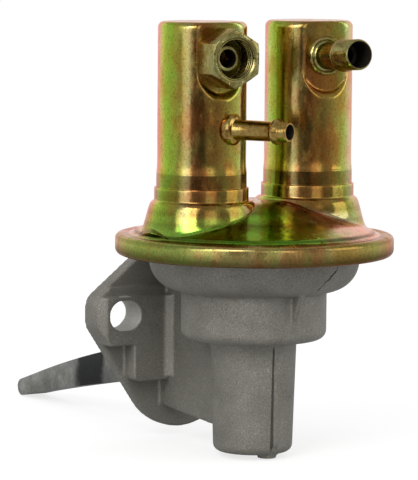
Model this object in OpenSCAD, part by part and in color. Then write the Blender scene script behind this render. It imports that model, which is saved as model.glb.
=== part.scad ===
// Engine-driven diaphragm fuel pump with a cast lower body, a plated steel cover and two cans.
// Frame: +Z up, +Y out of the mounting face towards the engine, +X along the two cans.
// Origin: centre of the mounting face, midway between the two bolt slots.

/* [Mounting flange] */
// Distance between the two bolt slots
bolt_spacing = 50.8; // [46:0.2:56]
// Width of a bolt slot, across its length
slot_w = 10; // [8:0.5:11]
// Length of a bolt slot, end to end
slot_l = 11.7; // [11.2:0.1:13]
// Thickness of the lower lobe of the flange
lobe_t = 4; // [3.5:0.1:5]
// Thickness of the upper part of the flange
upper_t = 5.5; // [4.5:0.1:6.5]
// Thickness of the pads that the bolt heads press on
pad_t = 10.6; // [9.8:0.1:12]
// Width of the metal outside each bolt slot
ear_w = 3.75; // [3:0.05:6]
// Radius of the lower lobe
lobe_r = 20.4; // [19:0.2:22]
// Height of the centre of the lower lobe
lobe_z = -19.2; // [-21:0.2:-18]
// Distance of the top edge of the flange below the rim of the cover
flange_gap = 2.1; // [1.6:0.1:4]

/* [Lower body] */
// Distance from the mounting face to the pump axis
axis_y = 49; // [48:0.5:52]
// Outer radius of the bowl under the cover
bowl_r = 34; // [33:0.2:35]
// Radius of the round edge under the bowl
bowl_round = 9.9; // [8:0.1:10.4]
// Outer radius of the drum
drum_r = 23.55; // [22.5:0.1:24.5]
// Height of the joint between bowl and drum
drum_top = 11.5; // [10.5:0.5:12.5]
// Height of the lower edge of the drum
drum_bottom = -4.3; // [-5:0.1:-3.5]
// Radius of the spring boss where it leaves the drum
boss_top_r = 14; // [13.6:0.1:15]
// Radius of the spring boss at its foot
boss_foot_r = 12.9; // [12.8:0.1:13.5]
// Height of the foot of the spring boss
boss_bottom = -41.2; // [-44:0.2:-40]
// Half width of the arm housing, outside
neck_half = 8.2; // [8:0.1:9]
// Wall of the cast body
cast_wall = 3; // [2.5:0.1:3.4]

/* [Cover] */
// Width of the rolled rim beyond the foot of the cover cone
rim_w = 6.6; // [6.2:0.1:8]
// Height of the lower edge of the rolled rim
rim_bottom = 22.9; // [22.5:0.1:23.2]
// Thickness of the rolled rim above the pieces that it clamps
rim_cap = 1.3; // [1.3:0.1:1.9]
// Sheet thickness of the cover
sheet = 1.2; // [1:0.05:1.3]
// Height of the flat between the two cans, above the rim
dome_h = 10.8; // [10.3:0.1:11.2]
// Slope of the cover cone, in degrees
cone_slope = 20; // [19.5:0.1:20.5]
// Width of the ledge around a can, on top of its shoulder
shoulder_w = 2.1; // [2:0.1:2.6]
// Height of that ledge above the flat between the cans
ledge_h = 0.7; // [0.5:0.1:1.5]
// Height of the collar around a can
collar_h = 4.3; // [3.3:0.1:5.8]

/* [Cans] */
// Gap between the two cans
can_gap = 12.2; // [11.6:0.2:13.2]
// Outer radius of a can
can_r = 14.2; // [13.6:0.1:14.8]
// Extra radius of the sized foot of a can
can_step = 0.25; // [0.15:0.05:0.3]
// Height of a can above the ledge
can_h = 57; // [55:0.2:63]
// Depth of the flat that carries a fitting
flat_depth = 2.4; // [2:0.1:2.8]
// Distance of the middle of the flat's round end below its fitting
flat_drop = 2.6; // [1.6:0.1:4.6]

/* [Fittings] */
// Distance of the outlet and inlet fittings below the top of the cans
port_drop = 11.2; // [10.4:0.1:12]
// Turn of the outlet fitting and its flat about the can, in degrees
outlet_turn = 3; // [0:0.5:8]
// Turn of the inlet hose end and its flat about the can, in degrees
inlet_turn = 6; // [0:0.5:8]
// Width across the flats of the outlet fitting
hex_af = 16.4; // [15.5:0.1:16.8]
// Length of the outlet fitting outside the can
hex_len = 10.2; // [9.6:0.1:12]
// Radius of the thread bore of the outlet fitting
thread_r = 6.4; // [6.2:0.05:6.5]
// Outer radius of the inlet hose end
barb_r = 4.9; // [4.7:0.05:5.1]
// Length of the inlet hose end outside the can
barb_len = 22.5; // [20:0.5:26]
// Tilt of the inlet hose end, in degrees
barb_tilt = 3.5; // [2:0.5:4]
// Distance of the vapour return nipple below the top of the cans
nipple_drop = 33.7; // [32:0.1:40]
// Outer radius of the vapour return nipple
nipple_r = 3.2; // [2.9:0.05:3.4]
// Length of the vapour return nipple outside the can
nipple_len = 21; // [18:0.5:24]

/* [Rocker arm] */
// Height of the pivot pin
pivot_z = -16.5; // [-17:0.1:-16]
// Distance of the pivot pin behind the mounting face
pivot_y = 5.2; // [5:0.1:5.4]
// Radius of the pivot pin
pin_r = 2.75; // [2.5:0.05:2.8]
// Width of the rocker arm
arm_w = 10; // [9:0.1:10.2]
// Reach of the arm tip beyond the mounting face
arm_reach = 102; // [96:0.5:108]
// Drop of the arm tip below the pivot pin
arm_drop = 23; // [20:0.5:25]

/* [Diaphragm and valves] */
// Thickness of the diaphragm
membrane_t = 0.8; // [0.6:0.05:0.9]
// Radius of the pull rod
rod_r = 2.5; // [2.2:0.05:2.6]
// Radius of the upper diaphragm plate
plate_r = 21; // [18:0.5:22]
// Wall of the neck that holds a valve cage
neck_wall = 2.6; // [2.3:0.1:3.3]
// Clearance between a valve disc and the wall of its cage
disc_gap = 2.1; // [1.5:0.1:2.7]
// Wire radius of the diaphragm spring
main_wire = 0.95; // [0.7:0.05:1.1]
// Wire radius of the arm return spring
arm_wire = 0.7; // [0.5:0.05:0.8]
// Wire radius of a valve spring
valve_wire = 0.25; // [0.2:0.05:0.35]

/* [Hidden] */
$fn = 64;

fit = 0.05;        // radial clearance of a close fit
gap = 0.3;         // clearance between pieces that move past each other
eps = 0.01;        // overlap of solids that are cut or joined

// Radii of the cover, worked out from the two cans
can_x = can_r + can_gap / 2;
shoulder_r = can_r + shoulder_w;
shoulder_foot_r = shoulder_r + 1.8;
cone_foot_r = can_x + shoulder_foot_r;
rim_r = cone_foot_r + rim_w;

// Stack clamped in the rolled rim, from below
lip_t = 1;
body_rim_t = 2;
valve_rim_t = 1.2;
gasket_t = 0.5;
body_rim_z = rim_bottom + lip_t;
membrane_z = body_rim_z + body_rim_t;
valve_rim_z = membrane_z + membrane_t;
gasket_z = valve_rim_z + valve_rim_t;
rim_ceiling = gasket_z + gasket_t;
rim_wall = 2.3;
stack_r = rim_r - rim_wall;
lip_r = stack_r - 1.7;
gasket_w = 3;

// Heights of the cover
rim_top = rim_ceiling + rim_cap;
cone_foot_z = rim_top + 1.2;
dome_top = rim_top + dome_h;
ledge_z = dome_top + ledge_h;
shoulder_foot_z = dome_top - 6;
collar_top = ledge_z + collar_h;
flange_top = rim_bottom - flange_gap;

// Chamber and deck of the valve body
deck_t = 1.6;
deck_z = membrane_z + 5.1;
deck_top = deck_z + deck_t;
deck_foot_r = stack_r - gasket_w - 4.1;
deck_r = deck_foot_r - 8.8;
membrane_rise = 2.3;
membrane_up = membrane_z + membrane_rise;
hub_plate_t = 0.9;
convolution_r = deck_foot_r - 4.6;

// Cans
can_top = ledge_z + can_h;
can_wall = 1.2;
foot_r = can_r + can_step;
can_foot_z = ledge_z - sheet;
can_step_z = collar_top + 4.9;
can_round = 2;
collar_r = foot_r + fit + 0.6;
neck_r = foot_r - can_wall - 2 * fit;
neck_top = collar_top - 0.5;
flat_y = can_r - flat_depth;
flat_flare = 38;      // degrees that the wall round the flat opens outward

// Fittings
port_z = can_top - port_drop;
flat_z = port_z - flat_drop;
nipple_z = can_top - nipple_drop;
spigot_r = 5;
barb_spigot_r = 4;
nipple_at = 12;       // degrees round the can from the front
nipple_turn = 25;     // degrees of its direction from the front
seat_depth = 5.5;     // depth of the tip of the flare seat in the outlet fitting
relief_depth = 5.4;   // depth of the clear threaded wall

// Diaphragm plates and the stud through them
stud_r = 1.8;
plate_z = membrane_up + membrane_t;
under_t = 1;
under_z = membrane_up - under_t;

// Lower body
ear_half = bolt_spacing / 2 + slot_l / 2 + ear_w;

// Rocker arm and pull rod
channel_half = arm_w / 2 + 0.8;
hub_r = 6.4;
arm_tip_r = 3;
tine_in = rod_r + 0.5;
tine_z = pivot_z - 0.1;
tine_h = 5.6;
fork_past = 8;        // reach of the fork past the pull rod
fork_root = 13;       // distance from the pull rod to where the fork starts to widen
fork_slot = 3.5;      // depth of the slot behind the pull rod
foot_bar_r = 1.8;
foot_bar_z = tine_z - gap - foot_bar_r;
foot_bar_half = 5.8;
cap_t = 1.2;
cap_in_r = 6.8;
cap_out_r = 9.6;
boss_bore_r = 10.5;
boss_floor = boss_bottom + 3.6;
web_z = -7;        // underside of the wall between drum and spring boss
floor_z = -1;      // floor of the drum
seal_r = 7;
seal_pocket = 3;
retainer_t = 1;
retainer_r = 15;
channel_top = -8.5;
channel_floor = -29;
pin_end = 19;
block_half = 22;
block_bottom = -22.3;
pad_low = -10;
pad_high = 6.3;
pad_ledge_t = 8;      // thickness of the ledge above the bolt pads
pad_ledge_h = 2.9;

// Springs
main_spring_r = 12;
arm_spring_r = cap_out_r - 1.4;
valve_spring_r = 3;
valve_gap = 0.1;

// Valve unit, measured along its flow
seat_t = 1.4;
unit_h = 7.4;
cage_wall = 1.2;
cage_r = neck_r - neck_wall - fit;
disc_r = cage_r - cage_wall - disc_gap;
flow_r = 5.6;
roof_t = 1.2;
disc_t = 1;
stem_r = 1.2;
disc_z = seat_t + valve_gap;
spring_from = disc_z + disc_t + valve_gap;
spring_to = unit_h - roof_t;

// Unit vector at angle a
function unit(a) = [cos(a), sin(a)];

// Outward normal of the line that touches circles p and q, each [x, y, r], on their right-hand side
function side_angle(p, q) =
    let (d = [q[0] - p[0], q[1] - p[1]])
    atan2(d[1], d[0]) - acos((p[2] - q[2]) / norm(d));

// Point where that line touches circle c
function touch(c, a) = [c[0], c[1]] + c[2] * unit(a);

// Convex outline around circles that are listed anticlockwise
module belt(circles) {
    n = len(circles);
    polygon([
        for (i = [0:n - 1])
            let (p = circles[i], q = circles[(i + 1) % n], a = side_angle(p, q))
                each [touch(p, a), touch(q, a)]
    ]);
    for (c = circles)
        translate([c[0], c[1]]) circle(c[2]);
}

// Points of a ring of the wire of a coil spring, at angle a of the helix
function wire_ring(r, wire, z, a, sides) = [
    for (k = [0:sides - 1])
        let (t = 360 * k / sides, d = r + wire * cos(t))
            [d * cos(a), d * sin(a), z + wire * sin(t)]
];

// Coil spring that stands on z0 and reaches z1
module coil(r, wire, z0, z1, turns, sides = 6, steps = 14) {
    n = round(turns * steps);
    low = z0 + wire;
    high = z1 - wire;
    points = [
        for (i = [0:n])
            each wire_ring(r, wire, low + (high - low) * i / n, 360 * i / steps, sides)
    ];
    faces = [
        [for (k = [0:sides - 1]) k],
        for (i = [0:n - 1], k = [0:sides - 1])
            let (m = (k + 1) % sides)
                each [
                    [i * sides + k, (i + 1) * sides + k, (i + 1) * sides + m],
                    [i * sides + k, (i + 1) * sides + m, i * sides + m]
                ],
        [for (k = [sides - 1:-1:0]) n * sides + k]
    ];
    polyhedron(points, faces, convexity = 8);
}

// Places children on the pump axis
module on_axis() {
    translate([0, -axis_y, 0]) children();
}

// Places children on the axis of a can, side 1 for the inlet and -1 for the outlet
module on_can(side) {
    translate([side * can_x, -axis_y, 0]) children();
}

// Turns +Z of the children to -Y, out of the front
module forward() {
    rotate([90, 0, 0]) children();
}

// Extrudes a front view, drawn in X and Z, from depth y0 to depth y1
module front_extrude(y0, y1) {
    translate([0, y1, 0]) forward() linear_extrude(y1 - y0) children();
}

// Mounting flange seen along Y
module flange_outline() {
    ear_r = 5.4;
    ear_x = ear_half - ear_r;
    top_r = 2.5;
    top_x = 14.2;
    belt([
        [0, lobe_z, lobe_r],
        [ear_x, -2.4, ear_r],
        [ear_x, 2.6, ear_r],
        [top_x, flange_top - top_r, top_r],
        [-top_x, flange_top - top_r, top_r],
        [-ear_x, 2.6, ear_r],
        [-ear_x, -2.4, ear_r]
    ]);
}

// Raised pads and pivot blocks, seen along Y
module pad_outline() {
    corner = 2.5;
    intersection() {
        flange_outline();
        translate([-ear_half, pad_low]) square([2 * ear_half, pad_high - pad_low]);
    }
    belt([
        [-block_half + corner, block_bottom + corner, corner],
        [block_half - corner, block_bottom + corner, corner],
        [block_half - corner, pad_low + 2 * corner, corner],
        [-block_half + corner, pad_low + 2 * corner, corner]
    ]);
}

// Half section of the outside of the lower body
module body_section() {
    bowl_z = drum_top + bowl_round;
    foot_round = 3;
    boss_round = 2.5;
    translate([0, body_rim_z]) square([stack_r, body_rim_t]);
    translate([0, bowl_z]) square([bowl_r, membrane_z - bowl_z]);
    translate([0, bowl_z + 1]) square([lip_r - gap, membrane_z - bowl_z - 1]);
    translate([0, drum_top]) square([bowl_r - bowl_round, bowl_round + eps]);
    intersection() {
        translate([bowl_r - bowl_round, bowl_z]) circle(bowl_round);
        translate([0, drum_top]) square([bowl_r, bowl_round + eps]);
    }
    translate([0, drum_bottom + foot_round]) square([drum_r, drum_top - drum_bottom - foot_round + eps]);
    translate([0, drum_bottom]) square([drum_r - foot_round, foot_round + eps]);
    intersection() {
        translate([drum_r - foot_round, drum_bottom + foot_round]) circle(foot_round);
        translate([0, drum_bottom]) square([drum_r, foot_round + eps]);
    }
    polygon([
        [0, drum_bottom + eps], [boss_top_r, drum_bottom + eps], [boss_foot_r, boss_bottom + boss_round],
        [boss_foot_r - boss_round, boss_bottom], [0, boss_bottom]
    ]);
    intersection() {
        translate([boss_foot_r - boss_round, boss_bottom + boss_round]) circle(boss_round);
        translate([0, boss_bottom]) square([boss_foot_r, boss_round + eps]);
    }
}

// Half section of the space inside the lower body
module body_hollow() {
    inner_r = bowl_r - cast_wall;
    drum_in = drum_r - cast_wall;
    round_in = min(bowl_round + 0.5, membrane_z - drum_top - cast_wall);
    round_z = drum_top + cast_wall + round_in;
    translate([0, round_z]) square([inner_r, membrane_z - round_z + eps]);
    translate([0, drum_top + cast_wall]) square([inner_r - round_in, round_in + eps]);
    intersection() {
        translate([inner_r - round_in, round_z]) circle(round_in);
        translate([0, drum_top]) square([inner_r, round_z - drum_top + eps]);
    }
    translate([0, floor_z]) square([drum_in, round_z - floor_z]);
    translate([0, floor_z - seal_pocket]) square([seal_r, seal_pocket + eps]);
    translate([0, web_z - eps]) square([rod_r + 0.7, seal_pocket + 4]);
    translate([0, boss_floor]) square([boss_bore_r, web_z - boss_floor]);
}

// Walls between the mounting flange and the pump axis
module arm_housing() {
    low_back = -31.5;
    low_front = -33.7;
    difference() {
        translate([-neck_half, 0, 0]) rotate([90, 0, 90])
            linear_extrude(2 * neck_half)
                polygon([
                    [-lobe_t / 2, low_back], [-lobe_t / 2, drum_top + 1], [-axis_y, drum_top + 1],
                    [-axis_y, low_front], [-axis_y + boss_top_r, low_front]
                ]);
        // keeps the space of the drum and boss free for their own section
        on_axis() translate([0, 0, low_front - 1])
            cylinder(h = drum_top - low_front + 3, r = boss_bore_r + 1);
    }
}

// Space that the rocker arm swings in
module arm_channel() {
    translate([-channel_half, -axis_y, channel_floor])
        cube([2 * channel_half, axis_y + 1, channel_top - channel_floor]);
}

// Two slots for the mounting bolts
module bolt_slots() {
    for (side = [-1, 1])
        front_extrude(-pad_t - 1, 1)
            translate([side * bolt_spacing / 2, 0])
                belt([
                    [-(slot_l - slot_w) / 2, 0, slot_w / 2],
                    [(slot_l - slot_w) / 2, 0, slot_w / 2]
                ]);
}

// Bevel on the outer front edge of each bolt pad
module pad_bevels() {
    bevel = 2.6;
    for (side = [-1, 1])
        translate([side * ear_half, -pad_t, 0]) rotate([0, 0, 45])
            translate([-bevel / sqrt(2), -bevel / sqrt(2), -ear_half])
                cube([bevel * sqrt(2), bevel * sqrt(2), 2 * ear_half]);
}

// Upright webs in the corners between the bolt pads and the arm housing
module pad_webs() {
    web = 2.2;
    sunk = 1;
    for (side = [-1, 1])
        translate([0, 0, block_bottom + sunk]) linear_extrude(pad_high - block_bottom - sunk)
            polygon([
                [side * (neck_half - sunk), -pad_t + sunk],
                [side * (neck_half + web + sunk), -pad_t + sunk],
                [side * (neck_half - sunk), -pad_t - web - sunk]
            ]);
}

// Gusset under the bowl, parting rib down the drum and boss, and the cut gate under the boss
module casting_marks() {
    rib_w = 1.8;
    rib_h = 0.8;
    nub_r = 3;
    nub_h = 1.2;
    gusset_low = drum_top - 9.5;
    gusset_high = drum_top + 2.5;
    gusset_r = bowl_r - 4.4;
    on_axis() {
        translate([-rib_w / 2, 0, 0]) rotate([90, 0, 90]) linear_extrude(rib_w)
            polygon([
                [-drum_r + 1, gusset_low], [-drum_r + 1, gusset_high],
                [-gusset_r, gusset_high], [-drum_r - 0.3, gusset_low]
            ]);
        translate([-rib_w / 2, -drum_r - rib_h / 2, drum_bottom + 5])
            cube([rib_w, rib_h + 2, drum_top - drum_bottom - 5]);
        translate([-rib_w / 2, -boss_foot_r - rib_h, boss_bottom + 3])
            cube([rib_w, rib_h + 2, drum_bottom - boss_bottom - 3 + eps]);
        translate([0, -boss_foot_r + nub_r + 1.4, boss_bottom - nub_h])
            cylinder(h = nub_h + 1, r = nub_r);
    }
}

module lower_housing() {
    color("#8a8a86")
    difference() {
        union() {
            on_axis() rotate_extrude() body_section();
            arm_housing();
            front_extrude(-lobe_t, 0) flange_outline();
            front_extrude(-upper_t, 0) intersection() {
                flange_outline();
                translate([-ear_half, pad_low]) square([2 * ear_half, flange_top - pad_low]);
            }
            front_extrude(-pad_ledge_t, 0) intersection() {
                flange_outline();
                translate([-ear_half, pad_low]) square([2 * ear_half, pad_high + pad_ledge_h - pad_low]);
            }
            front_extrude(-pad_t, 0) pad_outline();
            pad_webs();
            casting_marks();
        }
        on_axis() rotate_extrude() body_hollow();
        arm_channel();
        bolt_slots();
        pad_bevels();
        translate([-pin_end, -pivot_y, pivot_z]) rotate([0, 90, 0])
            cylinder(h = pin_end + block_half + 1, r = pin_r + fit / 2);
    }
}

// Height of the cover cone at radius r
function cone_z(r) = cone_foot_z + (cone_foot_r - r) * tan(cone_slope);

// Radius where the cone meets a flat at height z
function cone_r(z) = cone_foot_r - (z - cone_foot_z) / tan(cone_slope);

// Half section of the outside of the cover, without the shoulders
module cover_section() {
    low_round = 2;
    top_round = 3;
    groove = 0.4;
    rim_h = rim_top - rim_bottom;
    translate([0, rim_bottom + low_round]) square([rim_r, rim_h - low_round - top_round]);
    translate([0, rim_bottom]) square([rim_r - low_round, low_round + eps]);
    translate([rim_r - low_round, rim_bottom + low_round]) circle(low_round);
    translate([0, rim_top - top_round]) square([rim_r - top_round, top_round]);
    translate([rim_r - top_round, rim_top - top_round]) circle(top_round);
    polygon([
        [0, rim_top - 1], [rim_r - top_round, rim_top - 1], [rim_r - top_round + 0.6, rim_top - 0.06],
        [cone_foot_r + 1, cone_foot_z], [cone_foot_r + groove, cone_foot_z - groove], [cone_foot_r, cone_foot_z],
        [cone_r(dome_top), dome_top], [0, dome_top]
    ]);
}

// Half section of the space inside the cover
module cover_hollow() {
    drop = sheet / cos(cone_slope);
    inner_foot = cone_foot_r - 0.6;
    translate([0, rim_bottom - 1]) square([lip_r, lip_t + 1 + eps]);
    translate([0, body_rim_z]) square([stack_r + fit, rim_ceiling - body_rim_z]);
    polygon([
        [0, rim_ceiling - eps], [inner_foot, rim_ceiling - eps], [inner_foot, cone_z(inner_foot) - drop],
        [cone_r(dome_top), dome_top - drop], [0, dome_top - drop]
    ]);
}

// Half section of a shoulder and its collar, about the axis of a can
module shoulder_section() {
    polygon([
        [0, rim_top], [shoulder_foot_r + 1.6, rim_top + 1.2], [shoulder_foot_r + 0.4, shoulder_foot_z - 1.5],
        [shoulder_foot_r, shoulder_foot_z], [shoulder_r + 0.3, ledge_z - 1], [shoulder_r - 0.7, ledge_z], [0, ledge_z]
    ]);
    translate([0, ledge_z - eps]) square([collar_r, collar_top - ledge_z + eps]);
}

// Half section of the space inside a shoulder and its collar
module shoulder_hollow() {
    polygon([
        [0, rim_ceiling], [shoulder_foot_r - sheet, rim_ceiling], [shoulder_foot_r - sheet, shoulder_foot_z],
        [shoulder_r - sheet + 0.2, ledge_z - sheet], [0, ledge_z - sheet]
    ]);
    translate([0, ledge_z - sheet - eps]) square([foot_r + fit, collar_top - ledge_z + sheet + 1]);
}

module top_cover() {
    color("#a8923a")
    difference() {
        union() {
            on_axis() rotate_extrude() cover_section();
            for (side = [-1, 1])
                intersection() {
                    on_can(side) rotate_extrude() shoulder_section();
                    on_axis() cylinder(h = collar_top + 1, r = cone_foot_r + 0.4);
                }
        }
        on_axis() rotate_extrude() cover_hollow();
        for (side = [-1, 1])
            intersection() {
                on_can(side) rotate_extrude() shoulder_hollow();
                on_axis() cylinder(h = collar_top + 2, r = cone_foot_r - 0.6);
            }
    }
}

// Half section of a solid can with a wider foot and a rounded top edge
module can_section(r, foot, z0, z1, rounding) {
    translate([0, z0]) square([foot, can_step_z - z0]);
    translate([0, can_step_z - 1]) square([r, z1 - rounding - can_step_z + 1]);
    translate([0, z1 - rounding - 1]) square([r - rounding, rounding + 1]);
    translate([r - rounding, z1 - rounding]) circle(rounding);
}

// Region in front of the stamped flat of a can, moved inward by g
module flat_region(g) {
    reach = can_r;
    half_w = sqrt(can_r * can_r - flat_y * flat_y);
    end_r = half_w + 0.6 + g * (1 / cos(flat_flare) - tan(flat_flare));
    translate([-can_r - 1, -flat_y - reach + g, flat_z])
        cube([2 * can_r + 2, reach, can_top]);
    translate([0, -flat_y + g, flat_z]) forward()
        cylinder(h = reach, r1 = end_r, r2 = end_r + reach * tan(flat_flare));
}

// Steel can at the origin, with a flat near its top that is turned about the can
module can_shell(turn) {
    difference() {
        union() {
            difference() {
                rotate_extrude() can_section(can_r, foot_r, can_foot_z - sheet, can_top, can_round);
                rotate([0, 0, -turn]) flat_region(0);
            }
            translate([0, 0, can_foot_z - sheet]) cylinder(h = sheet, r = foot_r + 0.55);
        }
        difference() {
            rotate_extrude()
                can_section(can_r - can_wall, foot_r - can_wall, can_foot_z - sheet - 1, can_top - can_wall, 1);
            rotate([0, 0, -turn]) flat_region(can_wall);
        }
    }
}

// Places children at the middle of a fitting on its flat, with +Z out of the can
module at_port(turn) {
    rotate([0, 0, -turn]) translate([0, -flat_y, port_z]) forward() children();
}

// Places children at the seat of the return nipple, with +Z out of the can
module at_nipple() {
    translate([can_r * sin(nipple_at), -can_r * cos(nipple_at), nipple_z])
        rotate([0, 0, nipple_turn]) forward() children();
}

module outlet_can() {
    color("#a08a38")
    on_can(-1) difference() {
        can_shell(outlet_turn);
        at_port(outlet_turn) translate([0, 0, -can_r / 2]) cylinder(h = can_r, r = spigot_r + fit);
        at_nipple() translate([0, 0, -6]) cylinder(h = 12, r = nipple_r + fit);
    }
}

module inlet_can() {
    color("#a08a38")
    on_can(1) difference() {
        can_shell(inlet_turn);
        at_port(inlet_turn) rotate([-barb_tilt, 0, 0])
            translate([0, 0, -6]) cylinder(h = 12, r = barb_spigot_r + fit);
    }
}

module outlet_fitting() {
    corner_r = hex_af / 2 / cos(30);
    chamfer = 0.9;
    mouth_r = thread_r + 0.6;
    relief_w = 2.8;
    spigot_in = 2.6;
    hole_r = 3.4;
    color("#8c7a3c")
    on_can(-1) at_port(outlet_turn) difference() {
        union() {
            intersection() {
                rotate([0, 0, 90]) cylinder(h = hex_len, r = corner_r, $fn = 6);
                rotate_extrude() polygon([
                    [0, 0], [corner_r - chamfer, 0], [corner_r + eps, chamfer * 0.6],
                    [corner_r + eps, hex_len - chamfer * 0.6], [corner_r - chamfer - 0.3, hex_len], [0, hex_len]
                ]);
            }
            translate([0, 0, -spigot_in]) cylinder(h = spigot_in + 1, r = spigot_r);
        }
        translate([0, 0, -spigot_in - 1]) cylinder(h = spigot_in + hex_len, r = hole_r);
        translate([0, 0, hex_len - relief_depth - relief_w]) cylinder(h = relief_w + eps, r = thread_r + 0.3);
        translate([0, 0, hex_len - relief_depth]) cylinder(h = relief_depth + 1, r = thread_r);
        translate([0, 0, hex_len - 0.5]) cylinder(h = 0.5 + eps, r1 = thread_r, r2 = mouth_r);
    }
}

module flare_seat() {
    seat_foot = hex_len - relief_depth - 2.8;
    tip = hex_len - seat_depth;
    foot_rad = thread_r - 0.2;
    hole_r = 2.9;
    color("#7d7350")
    on_can(-1) at_port(outlet_turn) rotate_extrude() polygon([
        [hole_r, seat_foot], [foot_rad, seat_foot], [foot_rad, seat_foot + 0.9], [3.9, tip], [hole_r, tip]
    ]);
}

module inlet_barb() {
    ring_r = 6.3;
    neck = barb_r - 0.8;
    bead_r = barb_r + 0.45;
    hole_r = 2.9;
    mouth_r = barb_r - 0.7;
    spigot_in = 2.4;
    bead_at = barb_len - 9.6;
    clear = ring_r + 2;
    color("#a8923a")
    on_can(1) at_port(inlet_turn) difference() {
        rotate([-barb_tilt, 0, 0]) difference() {
            union() {
                translate([0, 0, -spigot_in]) cylinder(h = spigot_in + 2, r = barb_spigot_r);
                rotate_extrude() polygon([
                    [0, -1], [ring_r, -1], [ring_r, 0.9], [ring_r - 0.5, 1.5], [ring_r - 0.9, 1.4],
                    [neck + 0.8, 0.8], [neck + 0.2, 1.2], [neck, 2.4],
                    [neck, bead_at - 1.6], [bead_r, bead_at - 0.4], [bead_r, bead_at + 0.4], [barb_r, bead_at + 1.6],
                    [barb_r, barb_len - 0.7], [barb_r - 0.4, barb_len], [0, barb_len]
                ]);
            }
            translate([0, 0, -spigot_in - 1]) cylinder(h = barb_len + 4, r = hole_r);
            translate([0, 0, bead_at]) cylinder(h = barb_len, r = mouth_r);
        }
        // keeps the seat ring in front of the flat, around the spigot
        difference() {
            translate([-clear, -clear, -spigot_in - 2]) cube([2 * clear, 2 * clear, spigot_in + 2]);
            rotate([-barb_tilt, 0, 0])
                translate([0, 0, -spigot_in - 3]) cylinder(h = spigot_in + 4, r = barb_spigot_r + eps);
        }
    }
}

module return_nipple() {
    hole_r = 2.4;
    bead_r = nipple_r + 0.9;
    ring_r = 5;
    bead_at = nipple_len - 5;
    spigot_in = 3;
    clear = ring_r + 3;
    color("#9a7a34")
    on_can(-1) difference() {
        at_nipple() difference() {
            union() {
                translate([0, 0, -spigot_in]) cylinder(h = spigot_in + 2, r = nipple_r);
                rotate_extrude() polygon([
                    [0, -1.2], [ring_r, -1.2], [ring_r, 0.5], [ring_r - 0.7, 1.2], [nipple_r, 1.5],
                    [nipple_r, bead_at - 1.2], [bead_r, bead_at], [bead_r, bead_at + 0.6], [nipple_r, bead_at + 1.8],
                    [nipple_r, nipple_len - 0.4], [nipple_r - 0.3, nipple_len], [0, nipple_len]
                ]);
            }
            translate([0, 0, -spigot_in - 1]) cylinder(h = nipple_len + spigot_in + 2, r = hole_r);
        }
        // keeps the seat ring outside the can, around the tube
        difference() {
            translate([0, 0, nipple_z - clear]) cylinder(h = 2 * clear, r = can_r);
            at_nipple() translate([0, 0, -spigot_in - 1]) cylinder(h = spigot_in + 4, r = nipple_r + eps);
        }
    }
}

module valve_body() {
    color("#9a9a96")
    difference() {
        union() {
            on_axis() rotate_extrude() polygon([
                [0, deck_z], [deck_r - 0.6, deck_z], [deck_foot_r - 0.6, valve_rim_z], [stack_r, valve_rim_z],
                [stack_r, gasket_z], [deck_foot_r + 1, gasket_z], [deck_r + 0.6, deck_top], [0, deck_top]
            ]);
            for (side = [-1, 1])
                on_can(side) translate([0, 0, deck_z - 0.8]) cylinder(h = neck_top - deck_z + 0.8, r = neck_r);
        }
        for (side = [-1, 1]) on_can(side) {
            translate([0, 0, deck_top]) cylinder(h = neck_top, r = cage_r + fit);
            translate([0, 0, deck_z - 3]) cylinder(h = deck_t + 4, r = flow_r);
        }
        // keeps the chamber under the deck clear of the necks
        on_axis() rotate_extrude() polygon([
            [0, valve_rim_z - 1], [deck_foot_r - 0.6, valve_rim_z - 1], [deck_foot_r - 0.6, valve_rim_z],
            [deck_r - 0.6, deck_z], [0, deck_z]
        ]);
    }
}

module cover_gasket() {
    color("#3a3a38")
    on_axis() translate([0, 0, gasket_z]) difference() {
        cylinder(h = gasket_t, r = stack_r);
        translate([0, 0, -1]) cylinder(h = gasket_t + 2, r = stack_r - gasket_w);
    }
}

module diaphragm() {
    color("#2c2c2a")
    on_axis() rotate_extrude() polygon([
        [stud_r + fit, membrane_up], [plate_r + 1, membrane_up], [convolution_r, membrane_z],
        [stack_r, membrane_z], [stack_r, valve_rim_z], [convolution_r - 0.2, valve_rim_z],
        [plate_r + 0.8, plate_z], [stud_r + fit, plate_z]
    ]);
}

module upper_plate() {
    color("#9aa0a0")
    on_axis() translate([0, 0, plate_z]) difference() {
        cylinder(h = hub_plate_t, r = plate_r);
        translate([0, 0, -1]) cylinder(h = hub_plate_t + 2, r = stud_r + fit);
    }
}

module lower_plate() {
    skirt_r = plate_r - 0.4;
    skirt_h = 1.4;
    color("#9aa0a0")
    on_axis() difference() {
        rotate_extrude() polygon([
            [0, under_z], [skirt_r - under_t, under_z], [skirt_r - under_t, under_z - skirt_h],
            [skirt_r, under_z - skirt_h], [skirt_r, membrane_up], [0, membrane_up]
        ]);
        translate([0, 0, under_z - 1]) cylinder(h = under_t + 2, r = stud_r + fit);
    }
}

module pull_rod() {
    head_h = 0.6;
    color("#8f9494")
    on_axis() {
        translate([0, 0, foot_bar_z]) cylinder(h = under_z - foot_bar_z, r = rod_r);
        translate([0, 0, under_z - 1]) cylinder(h = 1, r = rod_r + 2);
        translate([0, 0, under_z - eps]) cylinder(h = plate_z + hub_plate_t - under_z + eps, r = stud_r);
        translate([0, 0, plate_z + hub_plate_t]) cylinder(h = head_h, r = stud_r + 1.6);
        translate([-foot_bar_half, 0, foot_bar_z]) rotate([0, 90, 0]) cylinder(h = 2 * foot_bar_half, r = foot_bar_r);
    }
}

module diaphragm_spring() {
    color("#70757a")
    on_axis() coil(main_spring_r, main_wire, floor_z + retainer_t, under_z, 5.5);
}

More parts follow.
